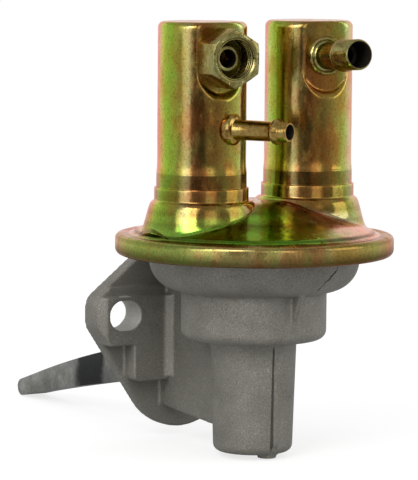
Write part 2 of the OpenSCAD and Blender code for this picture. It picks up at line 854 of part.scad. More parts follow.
module rod_seal() {
    color("#1e1e1e")
    on_axis() translate([0, 0, floor_z - seal_pocket]) difference() {
        cylinder(h = seal_pocket + 1.4, r = seal_r - fit);
        translate([0, 0, -1]) cylinder(h = seal_pocket + 4, r = rod_r + fit);
    }
}

module seal_retainer() {
    dome_in = seal_r + fit;
    dome_h = 2.8;
    color("#9aa0a0")
    on_axis() translate([0, 0, floor_z]) rotate_extrude() polygon([
        [dome_in, 0], [retainer_r, 0], [retainer_r, retainer_t], [dome_in + retainer_t, retainer_t],
        [dome_in + retainer_t, dome_h], [rod_r + 0.7, dome_h], [rod_r + 0.7, dome_h - retainer_t],
        [dome_in, dome_h - retainer_t]
    ]);
}

// Cage of a valve, with its seat at the bottom and its flow upward
module valve_cage() {
    ports = 6;
    port_at = disc_r - 2.8;
    outlets = 4;
    outlet_at = cage_r - 3.9;
    stem_h = 3;
    color("#b9b3a2")
    difference() {
        union() {
            difference() {
                cylinder(h = unit_h, r = cage_r);
                translate([0, 0, seat_t]) cylinder(h = spring_to - seat_t, r = cage_r - cage_wall);
            }
            translate([0, 0, seat_t - eps]) cylinder(h = stem_h, r = stem_r);
        }
        for (k = [0:ports - 1])
            rotate([0, 0, 360 * k / ports]) translate([port_at, 0, -1]) cylinder(h = seat_t + 1.5, r = 1.3);
        for (k = [0:outlets - 1])
            rotate([0, 0, 360 * k / outlets]) translate([outlet_at, 0, spring_to - 1]) cylinder(h = roof_t + 2, r = 2);
    }
}

module valve_disc() {
    color("#40403c")
    translate([0, 0, disc_z]) difference() {
        cylinder(h = disc_t, r = disc_r);
        translate([0, 0, -1]) cylinder(h = disc_t + 2, r = stem_r + gap);
    }
}

module valve_spring() {
    color("#9a9ea0")
    coil(valve_spring_r, valve_wire, spring_from, spring_to, 3);
}

// Places a valve unit in its neck: the outlet flows up, the inlet flows down
module outlet_unit() {
    on_can(-1) translate([0, 0, deck_top]) children();
}

module inlet_unit() {
    on_can(1) translate([0, 0, deck_top + unit_h]) mirror([0, 0, 1]) children();
}

module outlet_valve_cage() { outlet_unit() valve_cage(); }
module outlet_valve_disc() { outlet_unit() valve_disc(); }
module outlet_valve_spring() { outlet_unit() valve_spring(); }
module inlet_valve_cage() { inlet_unit() valve_cage(); }
module inlet_valve_disc() { inlet_unit() valve_disc(); }
module inlet_valve_spring() { inlet_unit() valve_spring(); }

module inlet_strainer() {
    mesh_r = neck_r - 3.55;
    mesh_wall = 0.8;
    mesh_h = port_z - neck_top - 8;
    color("#b8a878")
    on_can(1) translate([0, 0, neck_top]) difference() {
        union() {
            cylinder(h = mesh_h, r = mesh_r);
            cylinder(h = 1, r = neck_r - 0.6);
        }
        translate([0, 0, -1]) cylinder(h = mesh_h - mesh_wall + 1, r = mesh_r - mesh_wall);
    }
}

// Half height of the rocker arm at share u of its length
function arm_half(u) = hub_r - 0.15 - (hub_r - 0.15 - arm_tip_r) * pow(u, 1.9);

// Point of the arm at share u of its length, k = 1 for its upper edge and -1 for its lower edge
function arm_edge(u, k) = [
    -pivot_y + (arm_reach - arm_tip_r + pivot_y) * u,
    pivot_z - arm_drop * (0.72 * u + 0.28 * u * u) + k * arm_half(u)
];

// Side view of the rocker arm, drawn in Y and Z
module arm_outline() {
    steps = 14;
    tip = [arm_reach - arm_tip_r, pivot_z - arm_drop];
    polygon([
        [-axis_y - fork_past, tine_z],
        [-axis_y + fork_root, tine_z],
        [-pivot_y - 3, pivot_z - hub_r + 1],
        each [for (i = [1:steps - 1]) arm_edge(i / steps, -1)],
        each [for (a = [-105:20:75]) tip + arm_tip_r * unit(a)],
        each [for (i = [steps - 1:-1:1]) arm_edge(i / steps, 1)],
        [-pivot_y - 3, pivot_z + hub_r - 1],
        [-axis_y + fork_root, tine_z + tine_h],
        [-axis_y - fork_past, tine_z + tine_h]
    ]);
    translate([-pivot_y, pivot_z]) circle(hub_r);
}

module rocker_arm() {
    color("#77797a")
    difference() {
        translate([-arm_w / 2, 0, 0]) rotate([90, 0, 90]) linear_extrude(arm_w) arm_outline();
        translate([-tine_in, -axis_y - fork_past - 1, tine_z - 1])
            cube([2 * tine_in, fork_past + fork_slot + 1, tine_h + 2]);
        translate([-arm_w, -pivot_y, pivot_z]) rotate([0, 90, 0]) cylinder(h = 2 * arm_w, r = pin_r + fit);
    }
}

module arm_spring_cap() {
    color("#8f9494")
    on_axis() translate([0, 0, tine_z - cap_t]) difference() {
        cylinder(h = cap_t, r = cap_out_r);
        translate([0, 0, -1]) cylinder(h = cap_t + 2, r = cap_in_r);
    }
}

module arm_return_spring() {
    color("#70757a")
    on_axis() coil(arm_spring_r, arm_wire, boss_floor, tine_z - cap_t, 6);
}

module pivot_pin() {
    color("#9a9ea0")
    translate([-pin_end, -pivot_y, pivot_z]) rotate([0, 90, 0]) cylinder(h = 2 * pin_end - 0.5, r = pin_r);
}

module pivot_washers() {
    color("#9a9ea0")
    for (side = [-1, 1])
        translate([side * (arm_w / 2 + 0.4), -pivot_y, pivot_z]) rotate([0, 90, 0]) difference() {
            cylinder(h = 0.6, r = hub_r - 0.6, center = true);
            cylinder(h = 2, r = pin_r + fit, center = true);
        }
}

module pin_plug() {
    color("#8f9494")
    translate([pin_end - 0.5, -pivot_y, pivot_z]) rotate([0, 90, 0]) cylinder(h = 2, r = pin_r);
}

lower_housing();
top_cover();
outlet_can();
inlet_can();
outlet_fitting();
flare_seat();
inlet_barb();
return_nipple();
valve_body();
cover_gasket();
diaphragm();
upper_plate();
lower_plate();
pull_rod();
diaphragm_spring();
rod_seal();
seal_retainer();
outlet_valve_cage();
outlet_valve_disc();
outlet_valve_spring();
inlet_valve_cage();
inlet_valve_disc();
inlet_valve_spring();
inlet_strainer();
rocker_arm();
arm_spring_cap();
arm_return_spring();
pivot_pin();
pivot_washers();
pin_plug();
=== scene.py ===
import math

import bmesh
import bpy
import numpy as np
from bpy.props import FloatProperty, PointerProperty, StringProperty
from mathutils import Matrix, Vector


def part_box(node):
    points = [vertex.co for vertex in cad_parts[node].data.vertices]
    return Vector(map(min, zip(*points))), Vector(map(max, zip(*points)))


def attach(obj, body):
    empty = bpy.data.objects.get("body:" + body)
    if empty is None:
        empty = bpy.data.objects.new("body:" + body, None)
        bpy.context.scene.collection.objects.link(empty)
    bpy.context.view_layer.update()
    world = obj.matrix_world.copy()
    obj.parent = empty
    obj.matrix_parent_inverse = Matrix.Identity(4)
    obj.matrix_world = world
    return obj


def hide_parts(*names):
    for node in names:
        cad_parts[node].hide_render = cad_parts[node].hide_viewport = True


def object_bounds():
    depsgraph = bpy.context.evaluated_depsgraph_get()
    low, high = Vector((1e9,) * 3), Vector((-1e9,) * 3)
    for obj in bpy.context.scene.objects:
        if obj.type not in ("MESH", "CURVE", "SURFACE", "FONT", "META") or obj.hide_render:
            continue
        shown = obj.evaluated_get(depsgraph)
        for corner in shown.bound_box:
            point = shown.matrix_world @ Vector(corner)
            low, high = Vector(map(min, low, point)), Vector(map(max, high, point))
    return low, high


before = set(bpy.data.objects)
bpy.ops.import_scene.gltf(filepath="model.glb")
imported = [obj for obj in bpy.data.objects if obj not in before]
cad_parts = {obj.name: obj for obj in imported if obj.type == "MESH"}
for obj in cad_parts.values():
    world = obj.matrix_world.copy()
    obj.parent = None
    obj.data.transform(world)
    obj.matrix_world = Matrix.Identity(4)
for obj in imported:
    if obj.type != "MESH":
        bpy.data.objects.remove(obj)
CAD_BOX = [list(corner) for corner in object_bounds()]

bl_info = {
    "name": "Diaphragm fuel pump",
    "version": (1, 0, 0),
    "blender": (4, 5, 0),
    "location": "View3D > Sidebar > Fuel pump",
    "description": "Dresses the engine-driven fuel pump and its studio",
    "category": "Object",
}

BODY = "pump_body"
MM = 0.001

# Places that the frame gives, in metres
COVER_LOW, COVER_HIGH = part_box("top_cover")
CAN_LOW, CAN_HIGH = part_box("inlet_can")
RIM_R = (COVER_HIGH[0] - COVER_LOW[0]) / 2
AXIS_Y = (COVER_HIGH[1] + COVER_LOW[1]) / 2
CAN_X = (CAN_HIGH[0] + CAN_LOW[0]) / 2
CAN_TOP = CAN_HIGH[2]
FLOOR_Z = CAD_BOX[0][2] - 0.4 * MM

# Cover, as drawn: heights above the mounting bolts and radii, in metres
RIM_BOTTOM = COVER_LOW[2]
RIM_TOP = RIM_BOTTOM + 6.8 * MM
STACK_R = RIM_R - 2.3 * MM
LIP_R = RIM_R - 4 * MM
LIP_T = 1 * MM
RIM_CEILING = RIM_BOTTOM + 5.5 * MM
CONE_FOOT_R = 38.4 * MM
CONE_FOOT_Z = RIM_TOP + 1.2 * MM
CONE_SLOPE = math.radians(20)
CONE_FOOT_FALL = 1.1  # slope of the step at the cone's foot
REST_R = CONE_FOOT_R + 1.8 * MM  # where the sheet that rests on the rim starts to dip
REST_FALL = 0.25
REST_ABOVE = 0.12 * MM
COVER_EDGE_R = 42.6 * MM
EDGE_FALL = 2.4  # slope of the sheet's edge, that goes down into the rim
DOME_TOP = 40.5 * MM
SHEET = 1.2 * MM
LEDGE_Z = 41.2 * MM
SHOULDER_R = 16.3 * MM
SHOULDER_FOOT_R = SHOULDER_R + 1.8 * MM
SHOULDER_FOOT_Z = 34.5 * MM
COLLAR_TOP = COVER_HIGH[2]
COLLAR_R = 15.1 * MM
COLLAR_IN_R = 14.5 * MM

# Cans
CAN_R = 14.2 * MM
CAN_STEP = 0.25 * MM
CAN_FLARE = 0.2 * MM
CAN_WALL = 1.2 * MM
CAN_FOOT_Z = LEDGE_Z - 2 * SHEET
CAN_ROUND = 2 * MM
FLAT_Y = CAN_R - 2.4 * MM
FLAT_Z = 84.4 * MM
FLAT_FLARE = math.radians(38)
FLAT_END_R = math.sqrt(CAN_R**2 - FLAT_Y**2) + 0.6 * MM

# Ports
PORT_Z = 87 * MM
SPIGOT_R = 5.05 * MM
BARB_SPIGOT_R = 4.05 * MM
NIPPLE_Z = 64.5 * MM
NIPPLE_R = 3.25 * MM
NIPPLE_AT = math.radians(12)
NIPPLE_TURN = math.radians(25)
HEX_LEN = 10.2 * MM
THREAD_R = 6.4 * MM
OUTLET_TURN = math.radians(3)
INLET_TURN = math.radians(6)
INLET_TILT = math.radians(3.5)
THREAD_LEN = 4.9 * MM
THREAD_PITCH = 1.27 * MM

# Reach of the shade painted black inside the fittings' bores, and where it starts behind each one's foot
SEAT_BORE_R = 3.0 * MM
BARB_BORE_R = 3.2 * MM
BARB_MOUTH_R = 4.32 * MM
NIPPLE_BORE_R = 2.52 * MM
BORE_START = -9 * MM


def way_out(turn, tilt=0.0):
    """Unit vector out of the front, turned towards -X and tilted up."""
    return Vector((-math.sin(turn) * math.cos(tilt), -math.cos(turn) * math.cos(tilt), math.sin(tilt)))


OUTLET_WAY, INLET_WAY = way_out(OUTLET_TURN), way_out(INLET_TURN, INLET_TILT)
OUTLET_AT = Vector((-CAN_X, AXIS_Y, PORT_Z))
INLET_AT = Vector((CAN_X, AXIS_Y, PORT_Z)) + way_out(INLET_TURN) * FLAT_Y
BARB_MOUTH = 12.4 * MM
NIPPLE_WAY = Vector((math.sin(NIPPLE_TURN), -math.cos(NIPPLE_TURN), 0))
NIPPLE_FOOT = Vector((-CAN_X + CAN_R * math.sin(NIPPLE_AT), AXIS_Y - CAN_R * math.cos(NIPPLE_AT), NIPPLE_Z))


def linear(code):
    """Linear RGBA of an sRGB hex colour."""
    parts = [int(code[i : i + 2], 16) / 255 for i in (0, 2, 4)]
    return [c / 12.92 if c <= 0.04045 else ((c + 0.055) / 1.055) ** 2.4 for c in parts] + [1.0]


def feed(node, inputs):
    """Sets a node's inputs, in order or by name, to a value, a hex colour, a socket or another node's result."""
    in_use = [socket for socket in node.inputs if socket.enabled]
    for key, value in inputs.items() if isinstance(inputs, dict) else enumerate(inputs):
        socket = in_use[key] if isinstance(key, int) else node.inputs[key]
        if isinstance(value, bpy.types.Node):
            value = next(result for result in value.outputs if result.enabled)
        if isinstance(value, bpy.types.NodeSocket):
            node.id_data.links.new(value, socket)
        else:
            socket.default_value = linear(value) if isinstance(value, str) else value


def add_node(tree, kind, inputs=(), stops=(), **settings):
    """Adds a shader node with its settings, inputs and links, and a ramp's stops as (position, hex or grey)."""
    made = tree.nodes.new("ShaderNode" + kind)
    for key, value in settings.items():
        setattr(made, key, value)
    feed(made, inputs)
    if stops:
        colours = made.color_ramp.elements
        while len(colours) > 1:
            colours.remove(colours[-1])
        for i, (position, code) in enumerate(stops):
            stop = colours[0] if i == 0 else colours.new(position)
            stop.position = position
            stop.color = linear(code) if isinstance(code, str) else (code, code, code, 1.0)
    return made


def new_finish(name, **values):
    """Material with its Principled sockets set; returns it, its tree and the Principled node."""
    made = bpy.data.materials.new(name)
    made.use_nodes = True
    tree = made.node_tree
    shader = tree.nodes["Principled BSDF"]
    for socket, value in values.items():
        shader.inputs[socket.replace("_", " ")].default_value = value
    return made, tree, shader


def place(tree, centre=(0, 0, 0), stretch=(1, 1, 1)):
    """Object position from centre, in metres, multiplied along each axis by stretch."""
    at = add_node(tree, "TexCoord").outputs["Object"]
    moved = add_node(tree, "VectorMath", (at, centre), operation="SUBTRACT")
    return add_node(tree, "VectorMath", (moved, stretch), operation="MULTIPLY")


def blobs(tree, size_mm, detail=2.0, rough=0.5, stretch=(1, 1, 1), centre=(0, 0, 0)):
    """Blobs about size_mm across that stay with the object, from 0 to 1."""
    return add_node(tree, "TexNoise", {"Vector": place(tree, centre, stretch), "Scale": 1000 / size_mm,
                                       "Detail": detail, "Roughness": rough})


def band(tree, value, low=None, high=None, soft=0.1 * MM):
    """Mask that is 1 above low and below high and else 0, with borders soft wide; either may be left out."""
    masks = [
        add_node(tree, "MapRange", (value, edge - soft / 2, edge + soft / 2, start, 1 - start),
                 interpolation_type="SMOOTHSTEP")
        for edge, start in ((low, 0.0), (high, 1.0)) if edge is not None
    ]
    return masks[0] if len(masks) == 1 else add_node(tree, "Math", masks, operation="MULTIPLY")


def relief(tree, shader, *layers):
    """Gives a shader its relief: each layer is a height from 0 to 1 and the depth in mm that it stands for."""
    normal = {}
    for height, depth_mm in layers:
        made = add_node(tree, "Bump", {"Height": height, "Strength": 1.0, "Distance": depth_mm * MM, **normal})
        normal = {"Normal": made}
    feed(shader, normal)


def turn_share(tree, across, along):
    """Turn from the front (-Y) to the right, as a share from 0 to 1 with the seam at the back."""
    front = add_node(tree, "Math", (along, -1.0), operation="MULTIPLY")
    angle = add_node(tree, "Math", (across, front), operation="ARCTAN2")
    return add_node(tree, "Math", (angle, 1 / (2 * math.pi), 0.5), operation="MULTIPLY_ADD")


def azimuth(tree, centre_x=0.0):
    """Share of the turn about the upright axis at centre_x on the point's own side of the pump, and the height."""
    at = add_node(tree, "SeparateXYZ", (place(tree, centre=(0, AXIS_Y, 0)),)).outputs
    across = at["X"]
    if centre_x:
        side = add_node(tree, "Math", (across,), operation="SIGN")
        shift = add_node(tree, "Math", (side, centre_x), operation="MULTIPLY")
        across = add_node(tree, "Math", (across, shift), operation="SUBTRACT")
    return turn_share(tree, across, at["Y"]), at["Z"]


def over_height(tree, height, painted_bands):
    """Ramp over the height, with stops as (millimetres, grey)."""
    low, high = painted_bands[0][0], painted_bands[-1][0]
    share = add_node(tree, "MapRange", (height, low * MM, high * MM))
    return add_node(tree, "ValToRGB", (share,), [((z - low) / (high - low), grey) for z, grey in painted_bands])


def within_bore(tree, origin, direction, radius, start):
    """Mask that is 1 within a radius of the line from origin along the unit vector direction, from start on."""
    at = place(tree, centre=origin)
    crossed = add_node(tree, "VectorMath", (at, direction), operation="CROSS_PRODUCT")
    apart = add_node(tree, "VectorMath", (crossed,), operation="LENGTH")
    along = add_node(tree, "VectorMath", (at, direction), operation="DOT_PRODUCT")
    near = band(tree, apart, high=radius, soft=0.12 * MM)
    past = band(tree, along, low=start, soft=0.2 * MM)
    return add_node(tree, "Math", (near, past), operation="MULTIPLY")


# Die-cast aluminium: the die skin is dull, and the blasting leaves a fine grain with dark and bright specks
def cast_aluminium(settings):
    made, tree, shader = new_finish("cast_aluminium", Metallic=0.6, Roughness=0.6)
    grain = blobs(tree, 0.5, 2.0, 0.7)
    patches = add_node(tree, "Math", (blobs(tree, 16, 4.0, 0.6), 0.4), operation="MULTIPLY")
    mixed = add_node(tree, "Math", (grain, 0.6, patches), operation="MULTIPLY_ADD")
    skin = add_node(tree, "ValToRGB", (mixed,), [
        (0.30, "5a5851"), (0.42, "827f77"), (0.55, "8f8c84"), (0.64, "a3a097"), (0.72, "c4c1b6"),
    ])
    painted_shade_mask = painted_shade_marks(tree)
    # painted shade: the crease and the corner beside the boss's rib are painted near black
    feed(shader, {
        "Base Color": add_node(tree, "Mix", (painted_shade_mask, painted_lit_slot_walls(tree, skin), "2c2b28"), data_type="RGBA"),
        "Roughness": add_node(tree, "MapRange", (grain, 0.0, 1.0, 0.72, 0.48)),
    })
    whole = add_node(tree, "Math", (1.0, painted_shade_mask), operation="SUBTRACT")
    relief(tree, shader, (blobs(tree, 0.8, 3.0, 0.7), settings.cast_grain / MM), (whole, SCAR_DEPTH_MM))
    return made


# Bolt slots: where their middles are, how far their walls reach from those, and how deep they go
SLOT_X = 25.4 * MM
SLOT_REACH = 6.6 * MM
SLOT_DEPTH = 12 * MM


def painted_lit_slot_walls(tree, colour):
    """Brightens the walls of the two bolt slots with painted light, as if lit by the light that comes through
    them.
    """
    facing = add_node(tree, "SeparateXYZ", (add_node(tree, "NewGeometry").outputs["Normal"],)).outputs["Y"]
    sideways = band(tree, add_node(tree, "Math", (facing,), operation="ABSOLUTE"), high=0.5, soft=0.2)
    near = [
        within_bore(tree, Vector((x, -SLOT_DEPTH, 0)), Vector((0, 1, 0)), SLOT_REACH, 0)
        for x in (-SLOT_X, SLOT_X)
    ]
    either = add_node(tree, "Math", near, operation="MAXIMUM")
    walls = add_node(tree, "Math", (sideways, either), operation="MULTIPLY")
    # painted light on the slot walls
    painted_slot_light = add_node(tree, "Mix", (0.45, colour, "c8c8c6"), data_type="RGBA", blend_type="ADD")
    return add_node(tree, "Mix", (walls, colour, painted_slot_light), data_type="RGBA")


# Two points, from the pump's axis, of the crease that the die left across the bowl, the lowest height that shows
# it and half its width; the crease's dark is painted shade. Then where the corner beside the boss's rib is, half
# the width of the shade painted there and its ends
CREASE = (Vector((2.5, -26.5, 12)) * MM, Vector((9.9, -32.4, 20.1)) * MM)
CREASE_LOW = 13.6 * MM
CREASE_HALF = 0.26 * MM
CORNER_X = -1.15 * MM
CORNER_SHADE_HALF = 0.36 * MM
CORNER_SHADE_ENDS = (-39.5 * MM, -6 * MM)
SCAR_DEPTH_MM = 0.2


def painted_shade_marks(tree):
    """Mask of the ragged crease across the bowl and of the corner beside the rib of the boss, both painted dark as
    shade and both sunk a little as relief.
    """
    axis = (0, AXIS_Y, 0)
    at = add_node(tree, "SeparateXYZ", (place(tree, centre=axis),)).outputs
    lean = CREASE[1] - CREASE[0]
    ragged = add_node(tree, "Math", (blobs(tree, 4, 4.0, 0.75, centre=axis), 0.5), operation="SUBTRACT")
    wander = add_node(tree, "Math", (ragged, 5 * MM), operation="MULTIPLY")
    rise = add_node(tree, "Math", (at["Z"], CREASE[0].z), operation="SUBTRACT")
    up = add_node(tree, "Math", (rise, wander), operation="ADD")
    across = add_node(tree, "Math", (at["X"], CREASE[0].x), operation="SUBTRACT")
    leant = add_node(tree, "Math", (up, lean.x / lean.z), operation="MULTIPLY")
    off = add_node(tree, "Math", (across, leant), operation="SUBTRACT")
    off = add_node(tree, "Math", (off,), operation="ABSOLUTE")
    split = add_node(tree, "Math", (band(tree, off, high=CREASE_HALF, soft=0.3 * MM),
                                    band(tree, at["Z"], low=CREASE_LOW, soft=1 * MM)), operation="MULTIPLY")
    side = add_node(tree, "Math", (at["X"], -CORNER_X), operation="ADD")
    side = add_node(tree, "Math", (side,), operation="ABSOLUTE")
    corner_shade = add_node(tree, "Math", (band(tree, side, high=CORNER_SHADE_HALF, soft=0.3 * MM),
                                   band(tree, at["Z"], *CORNER_SHADE_ENDS, soft=2 * MM)), operation="MULTIPLY")
    faint = add_node(tree, "Math", (corner_shade, 0.8), operation="MULTIPLY")
    either = add_node(tree, "Math", (split, faint), operation="MAXIMUM")
    front = band(tree, at["Y"], high=-10 * MM, soft=2 * MM)
    return add_node(tree, "Math", (either, front), operation="MULTIPLY")


# Pinkish and greenish cast of the film, in patches
BLUSH = [(0.36, "ffd2c4"), (0.47, "fff2e4"), (0.56, "f2ffec"), (0.68, "ffdcd8")]


def film_with_painted_light(tree, centre_x, film, painted_bands, drift):
    """Colour of a chromate film by the turn about an axis, with painted sheen, darkened at each height as
    painted_bands says, a painted reflection and shade.
    """
    turn, height = azimuth(tree, centre_x)
    cloud = add_node(tree, "Math", (blobs(tree, 8, 4.0, 0.65, (1, 1, 0.3)), 0.5), operation="SUBTRACT")
    fine = add_node(tree, "Math", (blobs(tree, 1.2, 3.0, 0.7), 0.5), operation="SUBTRACT")
    shift = add_node(tree, "Math", (cloud, drift, turn), operation="MULTIPLY_ADD")
    along = add_node(tree, "Math", (fine, 0.035, shift), operation="MULTIPLY_ADD")
    colour = add_node(tree, "ValToRGB", (along,), [(degrees / 360 + 0.5, code) for degrees, code in film])
    blush = add_node(tree, "ValToRGB", (blobs(tree, 11, 3.0, 0.6, (1, 1, 0.6), (5 * MM, 0, 0)),), BLUSH)
    tinted = add_node(tree, "Mix", (1.0, colour, blush), data_type="RGBA", blend_type="MULTIPLY")
    level = add_node(tree, "Math", (cloud, 0.5 * MM, height), operation="MULTIPLY_ADD")
    # painted reflection and shade: light and dark bands by height
    light = over_height(tree, level, painted_bands)
    return add_node(tree, "Mix", (1.0, tinted, light), data_type="RGBA", blend_type="MULTIPLY")


# Zinc plate with a yellow chromate film: a bright metal whose film shades from olive to gold, brown and pink, worn
# in fine specks and duller in patches
def yellow_zinc(name, roughness, paint):
    made, tree, shader = new_finish(name, Metallic=1.0, Roughness=roughness, Specular_Tint=linear("ffd8d4"))
    worn = add_node(tree, "ValToRGB", (blobs(tree, 0.6, 2.0, 0.7, (1, 1, 0.8)),),
                    [(0.30, 0.5), (0.42, 0.86), (0.56, 0.96), (0.66, 1.0)])
    feed(shader, {
        "Base Color": add_node(tree, "Mix", (1.0, paint(tree), worn), data_type="RGBA", blend_type="MULTIPLY"),
        "Roughness": add_node(tree, "ValToRGB", (blobs(tree, 4.5, 3.0, 0.7, (1, 1, 0.45)),),
                              [(0.36, roughness - 0.06), (0.52, roughness), (0.68, roughness + 0.16)]),
    })
    relief(tree, shader, (blobs(tree, 5.5, 2.0, 0.5, (1, 1, 0.5)), 0.10), (blobs(tree, 0.7, 2.0, 0.7), 0.014))
    return made


# Film of a can, by degrees round it from the front of the pump, to the right. Partly the film's own colour and
# partly painted sheen and reflection: the pinks and greens it shows at a slant and some of its light and dark, as
# seen from the front left, are painted at fixed turns
CAN_FILM_AND_SHEEN = [
    (-180, "b3a558"), (-140, "d9aa98"), (-115, "eec6bc"), (-105, "ecc8b0"), (-98, "d8e48a"), (-88, "bcd858"),
    (-76, "aed24e"), (-67, "bcc656"), (-59, "bcac5a"), (-52, "bfae7c"), (-44, "a88850"), (-30, "9c7a42"),
    (-18, "a48646"), (-4, "b29850"), (6, "b09c4e"), (13, "b0a450"), (20, "b6be5c"), (28, "ccd08e"),
    (38, "e0dcb4"), (58, "deb6a4"), (86, "b9a65a"), (130, "a9b060"), (180, "b3a558"),
]
# Painted bands of reflection and shade: what each height, in millimetres above the mounting bolts, leaves of a
# film's light
CAN_PAINTED_BANDS = [
    (34, 0.9), (38, 0.62), (40.6, 0.9), (41.4, 0.95), (41.9, 0.5), (44.4, 0.55), (45.0, 0.75), (45.5, 1.0),
    (45.9, 0.56), (49.8, 0.6), (50.3, 0.9), (52, 1.0), (56, 0.92), (80, 0.88), (95, 0.95), (98, 0.9),
]
# Painted bands of reflection and shade on the cover's cone, by height in millimetres
COVER_PAINTED_BANDS = [
    (29, 0.7), (29.9, 0.9), (30.3, 0.3), (30.8, 0.35), (31.3, 0.95), (32.7, 0.9), (34.6, 0.45), (35.4, 0.7),
    (36.6, 1.0), (37.8, 0.5), (39, 0.7), (40, 0.5), (40.5, 0.9), (42, 0.9),
]
# Painted bands of reflection and shade on the cover's rim, by height in millimetres
RIM_PAINTED_BANDS = [
    (22.9, 0.3), (24.2, 0.34), (25.4, 0.54), (26.6, 0.82), (27.7, 1.0), (28.4, 0.7), (29.0, 0.6), (29.35, 1.0),
    (29.6, 0.8), (31, 0.85),
]
# Film of the cover's cone and of its rim, by degrees round the pump from its front, to the right; partly the
# film's own colour and partly painted sheen and reflection laid out at fixed turns in the same way
COVER_FILM_AND_SHEEN = [
    (-180, "a9a45a"), (-145, "d2c5a4"), (-122, "eccabe"), (-104, "c0d080"), (-86, "a2c85a"), (-68, "96c452"),
    (-52, "9ad04a"), (-36, "98d84a"), (-18, "9cdc4c"), (-2, "b4e062"), (10, "d0dc94"), (24, "eed6c2"),
    (44, "f4e0ca"), (62, "cfd894"), (90, "9fb46e"), (144, "b09a50"), (180, "a9a45a"),
]
RIM_FILM_AND_SHEEN = [
    (-180, "b0a465"), (-128, "e6c0b0"), (-116, "c2c07c"), (-86, "a8bc60"), (-60, "b6ba68"), (-46, "c2ae70"),
    (-32, "ccb47c"), (-20, "bcb068"), (-6, "bea468"), (10, "acb060"), (24, "a8ac64"), (40, "b8a072"),
    (58, "bcc480"), (100, "b0a865"), (180, "b0a465"),
]


def can_paint(tree):
    """Film of the cans, with its painted sheen and painted bands of reflection and shade, and a plain film on
    their flat tops.
    """
    height = add_node(tree, "SeparateXYZ", (place(tree),)).outputs["Z"]
    patches = blobs(tree, 7, 3.0, 0.6)
    top = add_node(tree, "ValToRGB", (patches,), [(0.35, "b89a58"), (0.5, "c4b068"), (0.65, "c6a888")])
    film = film_with_painted_light(tree, CAN_X, CAN_FILM_AND_SHEEN, CAN_PAINTED_BANDS, 0.05)
    on_top = band(tree, height, low=CAN_TOP - 0.2 * MM, soft=0.3 * MM)
    return add_node(tree, "Mix", (on_top, film, top), data_type="RGBA")


def rim_paint(tree):
    """Film of the cover's rim, with its painted sheen and painted bands of reflection and shade."""
    return film_with_painted_light(tree, 0.0, RIM_FILM_AND_SHEEN, RIM_PAINTED_BANDS, 0.12)


def cover_paint(tree):
    """The cone's film, and that of the cans on the two shoulders and collars, each with its painted sheen and
    painted bands of reflection and shade.
    """
    cone = film_with_painted_light(tree, 0.0, COVER_FILM_AND_SHEEN, COVER_PAINTED_BANDS, 0.09)
    at = add_node(tree, "SeparateXYZ", (place(tree, centre=(0, AXIS_Y, 0)),)).outputs
    side = add_node(tree, "Math", (at["X"],), operation="ABSOLUTE")
    level = add_node(tree, "CombineXYZ", (side, at["Y"]))
    apart = add_node(tree, "VectorMath", (level, (CAN_X, 0, 0)), operation="DISTANCE")
    beyond = band(tree, apart, low=SHOULDER_FOOT_R - 0.2 * MM, soft=1.6 * MM)
    return add_node(tree, "Mix", (beyond, can_paint(tree), cone), data_type="RGBA")


# Turned steel with the same film, duller, with fine tool rings 0.9 mm apart; inside its bore the shade is painted
# dull black
def turned_zinc(name, stops, bores=(), roughness=0.25):
    made, tree, shader = new_finish(name, Metallic=1.0, Roughness=roughness, Specular_Tint=linear("ffe2c8"))
    film = add_node(tree, "ValToRGB", (blobs(tree, 3.6, 3.0, 0.7),), stops)
    dots = add_node(tree, "ValToRGB", (blobs(tree, 0.7, 2.0, 0.7),), [(0.32, 0.66), (0.5, 0.92), (0.64, 1.0)])
    colour = add_node(tree, "Mix", (1.0, film, dots), data_type="RGBA", blend_type="MULTIPLY")
    dull = add_node(tree, "MapRange", (blobs(tree, 0.9, 3.0, 0.7), 0.0, 1.0, roughness - 0.1, roughness + 0.12))
    painted_bore_shade = None
    for bore in bores:
        inside = within_bore(tree, *bore)
        painted_bore_shade = inside if painted_bore_shade is None else add_node(tree, "Math", (painted_bore_shade, inside), operation="MAXIMUM")
    if painted_bore_shade is not None:
        # painted shade: the inside of each bore is made dull, non-metallic black
        colour = add_node(tree, "Mix", (painted_bore_shade, colour, "0b0a09"), data_type="RGBA")
        feed(shader, {"Metallic": add_node(tree, "Math", (1.0, painted_bore_shade), operation="SUBTRACT")})
        dull = add_node(tree, "Math", (painted_bore_shade, 0.5, dull), operation="MULTIPLY_ADD")
    feed(shader, {"Base Color": colour, "Roughness": dull})
    rings = add_node(tree, "TexWave", {"Vector": place(tree), "Scale": wave_scale(0.45), "Distortion": 0.6,
                                       "Detail": 1.0}, wave_type="BANDS", bands_direction="Y").outputs["Fac"]
    relief(tree, shader, (rings, 0.006), (blobs(tree, 0.9, 3.0, 0.6), 0.03))
    return made


def wave_scale(ridge_mm):
    """Scale of a wave pattern whose ridges are about ridge_mm wide and lie about twice that apart."""
    return 1000 / (ridge_mm * 2 * math.pi)


# Where the arm's stretch painted black as a dark reflection starts and ends, along Y
DARK_REFLECTION_START = 39.5 * MM
DARK_REFLECTION_END = 58 * MM


